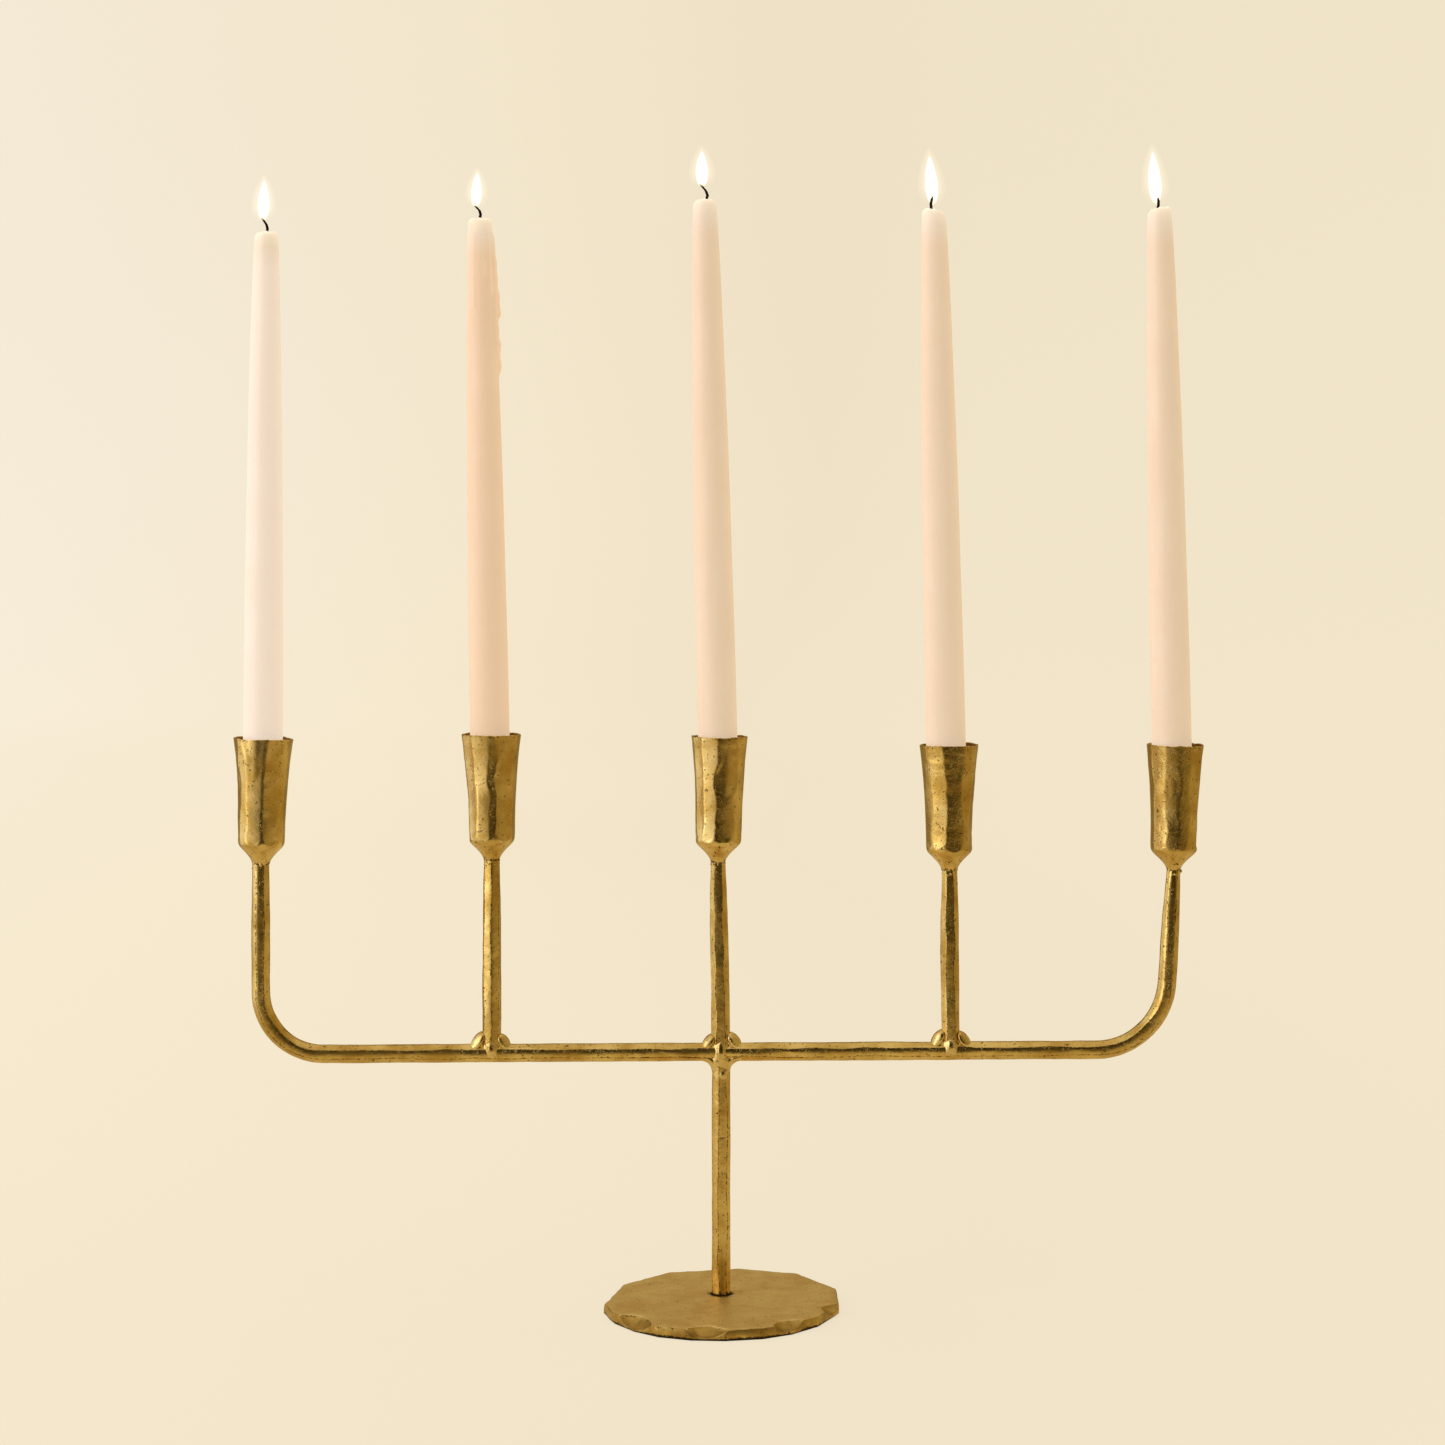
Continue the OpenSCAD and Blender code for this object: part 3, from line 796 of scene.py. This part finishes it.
def cup(a):
    """One cup, outside from the neck up, over the rim, and down the inside to the socket's floor."""
    rng = np.random.default_rng(CUP_SEED[a])
    facets = CUP_FACETS[a]
    count = facets * CUP_FACET_POINTS
    heights = np.concatenate([np.linspace(0, CONE_H, 14)[:-1], np.arange(CONE_H, CUP_H, CUP_RING), [CUP_H]])
    outer = cup_profile(a, heights)
    mouth_inner = WAIST_R + MOUTH_FLARE[a] / 2 * MM - RIM_T
    socket_z = CUP_H - SOCKET_DEPTH
    fixed = rng.uniform(-0.3, 0.3, facets)
    ridges, swell = [], []
    for k in range(facets):
        ridges.append(k + fixed[k] + 0.17 * wave_along(rng, heights, 11 * MM)
                      + 0.05 * wave_along(rng, heights, 3.2 * MM))
        swell.append(1.012 + 0.014 * wave_along(rng, heights, 14 * MM))
    ends = CONE_H + rng.uniform(-0.5, 2.5, facets) * MM
    ragged = rng.uniform(-0.35, 0.35, facets) * MM
    turn_by = rng.uniform(0, 2 * math.pi)
    radius = np.zeros((len(heights), count))
    angle = np.zeros((len(heights), count))
    lift = np.zeros(count)
    for k in range(facets):
        after = (k + 1) % facets
        a0 = 2 * math.pi * ridges[k] / facets
        a1 = 2 * math.pi * (ridges[after] + (facets if after == 0 else 0)) / facets
        x0, y0 = swell[k] * np.cos(a0), swell[k] * np.sin(a0)
        x1, y1 = swell[after] * np.cos(a1), swell[after] * np.sin(a1)
        for j in range(CUP_FACET_POINTS):
            share = j / CUP_FACET_POINTS
            chord = np.hypot(x0 + (x1 - x0) * share, y0 + (y1 - y0) * share) * (0.994 if j == 0 else 1.0)
            column = k * CUP_FACET_POINTS + j
            begin = ends[k] + 3.2 * MM * (2 * share - 1) ** 2
            flat_share = smooth_step(heights, begin - 0.6 * MM, begin + 1.4 * MM)
            radius[:, column] = outer * (1 + CUP_FLATNESS * (chord - 1) * flat_share)
            angle[:, column] = a0 + (a1 - a0) * share + turn_by
            mix = smooth_step(np.array(share), 0, 1)
            lift[column] = ragged[k] * (1 - mix) + ragged[after] * mix
    lift += 0.12 * MM * soft_noise(rng, count, range(8, 36, 3))
    least = np.interp(heights, [0, CONE_H + 6 * MM, socket_z, CUP_H],
                      [0, SOCKET_R - 0.9 * MM, SOCKET_R + 0.35 * MM, mouth_inner + 0.5 * MM])
    radius = np.maximum(radius, least[:, None])
    top_share = smooth_step(heights, CUP_H - 9 * MM, CUP_H)[:, None]
    rings = [circle(radius, angle, heights[:, None] + lift * top_share).reshape(-1, 3)]
    rim_r, rim_turn, rim_z = radius[-1], angle[-1], CUP_H + lift
    bore = np.maximum(mouth_inner, rim_r - RIM_T)
    for share, up in ((0.18, 0.22), (0.5, 0.3), (0.82, 0.2)):
        rings.append(circle(rim_r + (bore - rim_r) * share, rim_turn, rim_z + up * MM))
    for share in np.linspace(0, 1, 22):
        wall = bore * (1 - share) + SOCKET_R * share
        rings.append(circle(wall, rim_turn, rim_z * (1 - share) + socket_z * share))
    for share in (0.7, 0.35):
        rings.append(circle(SOCKET_R * share, rim_turn, socket_z))
    points = np.concatenate(rings)
    total = len(points) // count
    finish = scaled_gilt if a in SCALED_CUPS else cup_gilt
    placed = standing(neck_of[a], CUP_LEAN[a], points)
    body = mesh_object("cup_raised_" + a, placed, tube_faces(total, count), finish)
    body.data.materials.append(shaded_inside_gilt)
    # Dark marks for the material: painted shade where the cup meets its arm and along the ridges, and darker
    # round the rim.
    dirt_and_shade = np.zeros((total, count))
    dirt_and_shade[:len(heights)] = 0.75 * np.exp(-(heights / (1.6 * MM)) ** 2)[:, None]
    dirt_and_shade[:len(heights), ::CUP_FACET_POINTS] += 0.3 * smooth_step(heights, 9 * MM, 14 * MM)[:, None]
    dirt_and_shade[len(heights) - 2:len(heights) + 3] = RIM_DARKENING
    paint(body, "grime_and_shade", dirt_and_shade)
    for number, face in enumerate(body.data.polygons):
        face.material_index = int((number - 1) // count > len(heights) + 2)
    shell = bmesh.new()
    shell.from_mesh(body.data)
    for edge in shell.edges:
        if len(edge.link_faces) == 2 and edge.calc_face_angle(0) > CUP_CREASE:
            edge.smooth = False
    shell.to_mesh(body.data)
    shell.free()
    return body


for a in ARMS:
    raised = cup(a)
    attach(raised, "frame")
    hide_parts("cup_" + a)


# ---------------------------------------------------------------- the neck drops
# Where each arm is brazed into its cup, the filler stands in a ring of small uneven drops that were
# never filed away. They catch the light because they froze smooth.

RING_IN = 0.45 * MM
RING_DOWN = 0.8 * MM

# Brazing filler under gilding, frozen from the melt: small, smooth and bright, brown in the creases.
drop_gilt = metal("gilded_brazing_drops", "#f2d692", "#cfa75c", "#5a3a10",
                  (0.2, 0.3), (0.6, 0.02), (1.6, 0.08), 0.5)

tree, given = node_group("ring_of_drops", {
    "Count": 13,
    "Ring radius": 4 * MM,
    "Drop radius": 0.75 * MM,
    "Seed": 0,
})
ring = add(tree, "GeometryNodeMeshCircle", {"Vertices": given["Count"], "Radius": given["Ring radius"]})
jitter = add(tree, "FunctionNodeRandomValue", {
    0: (-0.5 * MM, -0.5 * MM, -1.6 * MM),
    1: (0.5 * MM, 0.5 * MM, 1.3 * MM),
    "Seed": given["Seed"],
}, data_type="FLOAT_VECTOR")
loose = add(tree, "GeometryNodeSetPosition", {"Geometry": ring, "Offset": jitter})
drop = add(tree, "GeometryNodeMeshIcoSphere", {"Radius": given["Drop radius"], "Subdivisions": 3})
sizes = add(tree, "FunctionNodeRandomValue", {
    0: (0.6, 0.6, 0.6),
    1: (1.3, 1.3, 1.9),
    "Seed": given["Seed"],
}, data_type="FLOAT_VECTOR")
scatter = add(tree, "GeometryNodeInstanceOnPoints", {"Points": loose, "Instance": drop, "Scale": sizes})
real = add(tree, "GeometryNodeRealizeInstances", {"Geometry": scatter})
smooth = add(tree, "GeometryNodeSetShadeSmooth", {"Geometry": real}, domain="FACE")
painted = add(tree, "GeometryNodeSetMaterial", {"Geometry": smooth, "Material": given["Material"]})
add(tree, "NodeGroupOutput", {"Geometry": painted})

for number, a in enumerate(ARMS):
    source = mesh_object("drop_source", [(0, 0, 0)], [], drop_gilt)
    drops = made_by(tree, "neck_drops_" + a, source, {
        "Ring radius": NECK_R[a] - RING_IN,
        "Seed": 40 + number,
        "Material": drop_gilt,
    })
    at = neck_of[a] - (neck_of[a] - foot_of[a]).normalized() * RING_DOWN
    drops.data.transform(Matrix.Translation(at) @ Matrix.Rotation(math.radians(ARM_LEAN[a]), 4, "Y"))
    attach(drops, "frame")
    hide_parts("neck_bead_" + a)


# ---------------------------------------------------------------- the welds
# The inner uprights are welded to the bar by hand: a rounded wing of metal on each side of the foot,
# a leaf of it down the front and the back, and a hollow fillet under the bar where the post meets it.

# How far out and how far up each weld's left and right wing reach, in mm.
WINGS = {
    "inner_left": ((-1, 5.2, 6.4), (1, 4.1, 5.4)),
    "centre": ((-1, 4.2, 4.2), (1, 5.0, 5.5)),
    "inner_right": ((-1, 4.4, 6.4), (1, 5.0, 5.4)),
}
WELD_SEED = {"inner_left": 61, "centre": 62, "inner_right": 63}
WELD_VOXEL = 0.42 * MM
WELD_SOFTENING = 12
FILLET_R = 5.0
FILLET_BEAD = 2.4
# The waves of the rough skin: their length and their depth.
WELD_SKIN = ((7 * MM, 0.12 * MM), (3.4 * MM, 0.03 * MM), (1.7 * MM, 0.01 * MM))
PIT_R = 1.1 * MM
PIT_DEPTH = 0.2 * MM

# Weld metal under gilding: soft swells from the melt, with brown in the creases.
weld_gilt = metal("gilded_weld_metal", "#f4da98", "#d2aa5c", "#3a260a",
                  (0.2, 0.3), (0.9, 0.03), (3.2, 0.06), 0.6)


def weld(a):
    """The swells of one joint, run together, softened and roughened. Places are in mm from the foot."""
    foot = foot_of[a]
    centre = a == "centre"
    shell = bmesh.new()

    def blob(at, size, lean=0.0, turn=0.0):
        """One swell: a ball of these half sizes, turned on its own axis, then leaned along the bar."""
        place = Matrix.Translation(foot + Vector(at) * MM) @ Matrix.Rotation(math.radians(lean), 4, "Y")
        place = place @ Matrix.Rotation(math.radians(turn), 4, "Z")
        place = place @ Matrix.Diagonal((size[0] * MM, size[1] * MM, size[2] * MM, 1))
        bmesh.ops.create_icosphere(shell, subdivisions=3, radius=1.0, matrix=place)

    for side, wing_out, wing_up in WINGS[a]:
        high = Vector((side * 4.0, 0, 5.0 + wing_up))
        low = Vector((side * (5.4 + wing_out), 0, 1.8))
        tilt = -side * math.degrees(math.atan2(abs(low.x - high.x), high.z - low.z))
        for depth in (-1, 1):
            at = (high + low) / 2 + Vector((0, depth * 2.2, 0))
            blob(at, (1.7, 3.3, (high - low).length / 2), tilt, side * depth * 48)
        blob((side * 4.8, 0, 4.0), (3.0, 3.6, 3.6))
    for depth in (-1, 1):
        blob((0, depth * 2.2, 2.0), (4.6, 3.2, 5.0))
        for side in (-1, 1):
            at = (side * 1.7, depth * 3.7, 0.4 if centre else 2.2)
            blob(at, (1.5, 4.0, 6.4 if centre else 4.9), side * -8, side * depth * 56)
    if centre:
        for side in (-1, 1):
            for step in range(8):
                bend = math.radians(4 + 11.7 * step)
                out = 5.0 + FILLET_R - (FILLET_R + FILLET_BEAD) * math.sin(bend)
                down = 5.0 + FILLET_R - (FILLET_R + FILLET_BEAD) * math.cos(bend)
                blob((side * out, 0, -down), (2.5, 4.4, 2.5))
        for depth in (-1, 1):
            blob((0, depth * 2.4, -4.0), (4.8, 3.1, 6.4))
        blob((0.6, -3.4, -12.0), (2.6, 2.1, 3.6))
    mesh = bpy.data.meshes.new("weld")
    shell.to_mesh(mesh)
    shell.free()
    made = in_scene("weld_joint_" + a, mesh)
    fuse = made.modifiers.new("fuse", "REMESH")
    fuse.mode = "VOXEL"
    fuse.voxel_size = WELD_VOXEL
    soften = made.modifiers.new("soften", "SMOOTH")
    soften.factor = 0.5
    soften.iterations = WELD_SOFTENING
    fused = final_mesh(made)
    made.modifiers.clear()
    made.data = fused
    fused.materials.clear()
    fused.materials.append(weld_gilt)
    fused.polygons.foreach_set("use_smooth", [True] * len(fused.polygons))
    points = np.array([v.co[:] for v in fused.vertices])
    normals = np.array([v.normal[:] for v in fused.vertices])
    rng = np.random.default_rng(WELD_SEED[a])
    rough = np.zeros(len(points))
    for size, depth in WELD_SKIN:
        for _ in range(3):
            way = rng.normal(size=3)
            way *= 2 * math.pi / size / np.linalg.norm(way)
            rough += depth * np.sin(points @ way + rng.uniform(0, 6.28)) / 1.7
    pit_at = np.array(foot) + np.array([0.3, -6.2, 5.0 if centre else 5.6]) * MM
    away = np.linalg.norm(points - pit_at, axis=1)
    rough -= PIT_DEPTH * np.exp(-(away / PIT_R) ** 2)
    fused.vertices.foreach_set("co", np.ravel(points + normals * rough[:, None]))
    fused.update()
    return made


for a in WINGS:
    joint = weld(a)
    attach(joint, "frame")
    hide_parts("weld_" + a)


# ---------------------------------------------------------------- the candles
# Dipped taper candles of cream wax, 21 mm at the foot. Each has burned down a little: a rounded
# shoulder, a shallow pool of melted wax round the wick, and on the second one runs down its side.

CANDLE_R = 10.5 * MM
CANDLE_TOP_R = 5.9
TAPER = 300.0
CANDLE_L = per_arm(297.8, 302.4, 313.3, 312.5, 313.2)
CANDLE_LEAN = per_arm(1.0, -0.8, -1.4, -1.6, -1.9)
CANDLE_SHIFT = per_arm(0.2, -0.1, 0.3, -1.1, -0.8)
# The slope of the melted top in mm across it, towards +X, and how far its lip stands up.
TOP_SLOPE = per_arm(0.3, -0.1, 0.2, -1.3, 1.0)
TOP_LIP = per_arm(0.4, 0.7, 0.2, 0.3, 0.5)
# The melted top from its edge to the wick: how far in, and how far above the shoulder's start.
SHOULDER = ((0.14, 0.7), (0.42, 1.35), (0.85, 1.9), (1.4, 2.25), (2.0, 2.3), (2.7, 2.05), (3.4, 1.85),
            (4.1, 1.95), (4.6, 2.4), (4.95, 3.0), (5.2, 3.3))
SHOULDER_DROP = 2.4
FOOT_CHAMFER = 0.25
# Wax runs: the turn from +X in degrees, how far down, how wide and how proud, all in mm.
RUNS = {
    "inner_left": ((-20, 68, 1.2, 1.7), (-42, 40, 1.0, 1.0), (-70, 30, 0.9, 0.45), (12, 52, 1.2, 1.9),
                   (-2, 80, 1.1, 1.5), (-118, 46, 0.9, 0.4), (140, 30, 1.3, 1.1)),
    "far_left": ((-60, 7, 1.6, 0.4),),
    "centre": ((-130, 6, 1.8, 0.3),),
    "inner_right": ((-15, 9, 1.5, 0.5),),
    "far_right": ((-150, 8, 1.6, 0.5),),
}
CANDLE_AROUND = 96
GLOW_DOWN = 42

foot_candle = {}
for a in ARMS:
    seat = abs(math.sin(math.radians(CANDLE_LEAN[a] - CUP_LEAN[a]))) * CANDLE_R + 0.05 * MM
    step_up = leaning(CUP_LEAN[a], CANDLE_SHIFT[a] * MM, CUP_H - SOCKET_DEPTH + seat)
    foot_candle[a] = neck_of[a] + step_up


def wax(name, light, deep, glow):
    """Dipped wax: it lets light in, so it is soft-edged. Its emission is painted light: a glow over the whole
    candle that lifts its shade, paler and brighter near the flame.
    """
    made, tree = blank_material(name)
    spot = add(tree, COORDINATES).outputs["Object"]
    stretched = add(tree, "ShaderNodeMapping", {"Vector": spot, "Scale": (1.0, 1.0, 0.12)})
    streak = add(tree, NOISE, [stretched, 1000 / 9, 4.0])
    cloud = add(tree, NOISE, [spot, 1000 / 30, 2.0])
    both = add(tree, "ADD", [streak, cloud])
    half = add(tree, "MULTIPLY", [both, 0.5])
    tone = add(tree, RAMP, [half], [(0.35, linear(light)), (0.65, linear(deep))])
    flame_glow_share = add(tree, ATTRIBUTE, attribute_name="flame_glow_share").outputs["Fac"]
    # Painted glow: the emission colour over the body, paler and brighter towards the top.
    painted_glow = add(tree, RAMP, [flame_glow_share], [
        (0.0, linear(glow)),
        (0.35, linear(glow)),
        (0.7, linear("#c8bea8")),
        (0.92, linear("#d2cbb4")),
        (1.0, linear("#dadac8")),
    ])
    dips = add(tree, NOISE, [spot, 1000 / 2.2, 3.0])
    shader = add(tree, PRINCIPLED, {
        "Base Color": tone,
        "Roughness": add(tree, RANGE, [cloud, 0.35, 0.65, 0.34, 0.5]),
        "IOR": 1.44,
        "Subsurface Weight": 0.9,
        "Subsurface Radius": (1.0, 0.75, 0.55),
        "Subsurface Scale": 10 * MM,
        "Emission Color": painted_glow,
        "Emission Strength": 1.0,
        "Normal": add(tree, BUMP, {"Height": dips, "Distance": 0.05 * MM}),
    })
    add(tree, SURFACE, [shader])
    return made


# Paraffin and stearin, dipped many times: a soft blush, warmer on the one that has run, paler on the left.
# The third colour is each one's painted glow.
blush_wax = wax("dipped_blush_wax", "#cbb2ad", "#c2a69c", "#c4b296")
honey_wax = wax("dipped_honey_wax", "#cbb0a4", "#c2a492", "#c6ae90")
pale_wax = wax("dipped_pale_wax", "#cdb8b3", "#c6aea6", "#d0c5b5")


def candle(a):
    """One taper in mm, from its flat foot up, over the shoulder, and in to the wick."""
    rng = np.random.default_rng(70 + ARMS.index(a))
    length = CANDLE_L[a]
    turns = turns_of(CANDLE_AROUND)
    below = np.concatenate([
        np.linspace(length, 90, 60),
        np.linspace(90, 20, 90)[1:],
        np.linspace(20, SHOULDER_DROP, 40)[1:],
    ])
    base_r = CANDLE_TOP_R + 4.6 * np.sin(np.radians(np.minimum(90, 90 * below / TAPER))) ** 0.65
    radius = base_r[:, None] * np.ones(CANDLE_AROUND)
    for n in (2, 3, 5):
        drift = np.cumsum(rng.normal(size=len(below))) * 0.02
        radius += 0.045 * np.cos(n * turns + rng.uniform(0, 6) + drift[:, None])
    radius += 0.05 * np.sin(below[:, None] / 17 + turns) * np.minimum(1, below[:, None] / 60)
    for degrees, down, wide, proud in RUNS[a]:
        wander = math.radians(degrees) + 0.05 * np.sin(below / 9 + degrees)
        across = apart(turns, wander[:, None]) * base_r[:, None]
        share = below / down
        body = (0.55 + 0.45 * share ** 2) * smooth_step(-share, -1.03, -0.97)
        body += 0.35 * np.exp(-((below - down * 0.97) / 2.4) ** 2)
        body *= smooth_step(below, 6, 10) * (1 + 0.28 * np.sin(below / 1.9 + degrees) * np.sin(below / 4.7))
        radius += proud * body[:, None] * np.exp(-(across / wide) ** 2)
    radius[0] -= FOOT_CHAMFER
    slope = TOP_SLOPE[a] * np.cos(turns) + 0.2 * soft_noise(rng, CANDLE_AROUND, (2, 3, 4))
    heights = (length - below)[:, None] + slope * smooth_step(-below, -14, -1.6)[:, None]
    rings = [circle(share * base_r[0], turns, 0) for share in (0.55, 0.9)]
    rings.append(circle(radius, turns, heights).reshape(-1, 3))
    lip = TOP_LIP[a] * np.clip(0.6 + 0.5 * soft_noise(rng, CANDLE_AROUND, (1, 2, 3, 5)), 0, 1.5)
    for inward, up in SHOULDER:
        scale = 1 - inward / CANDLE_TOP_R
        height = length - SHOULDER_DROP + slope * scale + up + lip * math.exp(-((inward - 1.7) / 0.9) ** 2)
        rings.append(circle(radius[-1] * scale, turns, height))
    points = np.concatenate(rings)
    faces = tube_faces(len(points) // CANDLE_AROUND, CANDLE_AROUND)
    finish = {"far_left": pale_wax, "inner_left": honey_wax}.get(a, blush_wax)
    placed = standing(foot_candle[a], CANDLE_LEAN[a], points * MM)
    body = mesh_object("taper_" + a, placed, faces, finish)
    # Painted glow from the flame: strongest at the top, fading down the candle.
    paint(body, "flame_glow_share", np.clip(1 - (length + 1 - points[:, 2]) / GLOW_DOWN, 0, 1) ** 1.5)
    return body


for a in ARMS:
    taper = candle(a)
    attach(taper, "candle_" + a)
    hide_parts("candle_" + a)


# ---------------------------------------------------------------- the wicks
# Braided cotton, waxed pale at the root and burned black above, bent over by its own ash.

WICK_R = 0.8 * MM
WICK_SINK = 1.8 * MM
WICK_RINGS = 21
WICK_AROUND = 12
WICK_ROOT = 0.25
# Where the burned part starts and where the tip is: right of the candle's middle and above its top, in mm.
WICK_START = per_arm((0.4, 1.2), (0.2, 1.8), (1.3, 1.6), (-1.3, 1.4), (-0.8, 0.9))
WICK_END = per_arm((-2.7, 7.8), (-2.9, 7.2), (-2.6, 8.3), (0.2, 9.1), (-1.3, 6.4))

# Charred cotton braid: nearly black and dull, pale where melted wax still wets its root.
char, tree = blank_material("charred_cotton_braid")
burn = add(tree, ATTRIBUTE, attribute_name="burn").outputs["Fac"]
spot = add(tree, COORDINATES).outputs["Object"]
braid = add(tree, NOISE, [spot, 1000 / 0.5, 3.0])
level = add(tree, "MULTIPLY_ADD", [braid, 0.3, burn])
tone = add(tree, RAMP, [level], [
    (0.12, linear("#e8c894")),
    (0.3, linear("#3a2010")),
    (0.6, linear("#120a06")),
    (1.0, linear("#241610")),
])
shader = add(tree, PRINCIPLED, {
    "Base Color": tone,
    "Roughness": 0.85,
    "Specular IOR Level": 0.08,
    "Normal": add(tree, BUMP, {"Height": braid, "Distance": 0.15 * MM}),
})
add(tree, SURFACE, [shader])

wick_tip = {}
for a in ARMS:
    axis = leaning(CANDLE_LEAN[a], 0, 1)
    candle_top = foot_candle[a] + axis * (CANDLE_L[a] * MM)
    low = candle_top - axis * WICK_SINK
    start = candle_top + Vector((WICK_START[a][0], 0, WICK_START[a][1])) * MM
    wick_tip[a] = candle_top + Vector((WICK_END[a][0], 0, WICK_END[a][1])) * MM
    hook = start + Vector((math.copysign(0.7, start.x - wick_tip[a].x), 0, 2.6)) * MM
    rings = []
    shares = np.linspace(0, 1, WICK_RINGS)
    for share in shares:
        if share < WICK_ROOT:
            middle = low.lerp(start, share / WICK_ROOT)
        else:
            t = (share - WICK_ROOT) / (1 - WICK_ROOT)
            middle = start * (1 - t) ** 2 + hook * (2 * t * (1 - t)) + wick_tip[a] * t ** 2
        r = WICK_R * (1 - 0.2 * share) * (0.4 if share == 1 else 1.0)
        turns = turns_of(WICK_AROUND) + share * 3
        twist = r * (1 + 0.12 * np.sin(3 * turns + 22 * share))
        rings.append(circle(twist, turns, middle.z) + (middle.x, 0, 0))
    wick = mesh_object("wick_burned_" + a, np.concatenate(rings), tube_faces(WICK_RINGS, WICK_AROUND), char)
    paint(wick, "burn", np.repeat(shares, WICK_AROUND))
    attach(wick, "candle_" + a)
    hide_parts("wick_" + a)


# ---------------------------------------------------------------- the flames
# Each lit wick carries a still flame: a white-hot heart in a faint warm halo. They are closed shells
# of light, one inside the other, and they ride on their candles.

FLAME_FOOT = per_arm(-1.8, -0.9, -1.4, -6.3, -4.2)
FLAME_H = per_arm(20.5, 17.5, 18.2, 25.2, 27.0)
FLAME_W = per_arm(5.8, 5.3, 6.2, 6.4, 6.4)
# Where the flame's foot and its tip stand beside the wick's tip, in mm along X.
FLAME_AT = per_arm(1.0, 0.8, 1.2, -0.5, -0.2)
FLAME_TIP = per_arm(1.8, 1.6, 1.1, -2.4, -2.3)
# How far the flame burns behind the wick.
FLAME_BACK = per_arm(0.0, 0.0, 0.0, 2.0, 1.6)
FLAME_ROWS = 32
FLAME_AROUND = 32
# Shells as (width, low, high), in shares of the flame's own.
HEART_SHELLS = ((1.0, 0.0, 1.0),)
HALO_SHELLS = ((1.3, -0.02, 1.04), (1.7, -0.05, 1.1), (2.2, -0.1, 1.17))


def flame_light(name, low, high, strength, clear_from, clear_to, adds):
    """Burning wax vapour: it only gives light, one colour at the foot and another at the tip. It fades
    in between two heights, and either hides what is behind it or adds to it."""
    made, tree = blank_material(name)
    up = add(tree, ATTRIBUTE, attribute_name="up").outputs["Fac"]
    spot = add(tree, COORDINATES).outputs["Object"]
    flicker = add(tree, NOISE, [spot, 1000 / 9, 1.0])
    level = add(tree, "MULTIPLY_ADD", [flicker, 0.12, up])
    tone = add(tree, RAMP, [level], [(0.0, linear(low)), (0.45, linear(high))])
    clear = add(tree, "ShaderNodeBsdfTransparent")
    there = add(tree, RANGE, [level, clear_from, clear_to, 0.0, strength if adds else 1.0])
    if adds:
        shell = add(tree, "ShaderNodeAddShader", [clear, add(tree, EMISSION, [tone, there])])
    else:
        shell = add(tree, "ShaderNodeMixShader", [there, clear, add(tree, EMISSION, [tone, strength])])
    add(tree, SURFACE, [shell])
    return made


# Heart: nearly white, and solid to the eye. Halo: a trace of warm light that only tints the air.
heart = flame_light("flame_heart", "#fff0c4", "#ffffff", 1.5, 0.06, 0.22, False)
halo = flame_light("flame_halo", "#ffe2a0", "#fff2cc", 0.024, 0.1, 0.4, True)


def flame(a, name, finish, shells):
    """Closed drops of light one inside the other; they are widest below their middle and bend from the
    wick towards the tip."""
    rings, faces = [], []
    turns = turns_of(FLAME_AROUND)
    shares = np.linspace(0, 1, FLAME_ROWS)
    for number, (width, low, high) in enumerate(shells):
        faces += tube_faces(FLAME_ROWS, FLAME_AROUND, number * FLAME_ROWS * FLAME_AROUND)
        for share in shares:
            up = low + (high - low) * share
            swell = math.sin(math.pi * share ** 0.72) ** 0.72 if 0 < share < 1 else 0.0
            r = FLAME_W[a] / 2 * width * max(swell, 0.03) * MM
            x = wick_tip[a].x + (FLAME_AT[a] + (FLAME_TIP[a] - FLAME_AT[a]) * up) * MM
            z = wick_tip[a].z + (FLAME_FOOT[a] + FLAME_H[a] * up) * MM
            rings.append(circle(r, turns, z) + (x, FLAME_BACK[a] * MM, 0))
    made = mesh_object(name + a, np.concatenate(rings), faces, finish)
    paint(made, "up", np.tile(np.repeat(shares, FLAME_AROUND), len(shells)))
    hide_from(made, "shadow", "glossy")
    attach(made, "candle_" + a)


for a in ARMS:
    flame(a, "flame_heart_", heart, HEART_SHELLS)
    flame(a, "flame_halo_", halo, HALO_SHELLS)
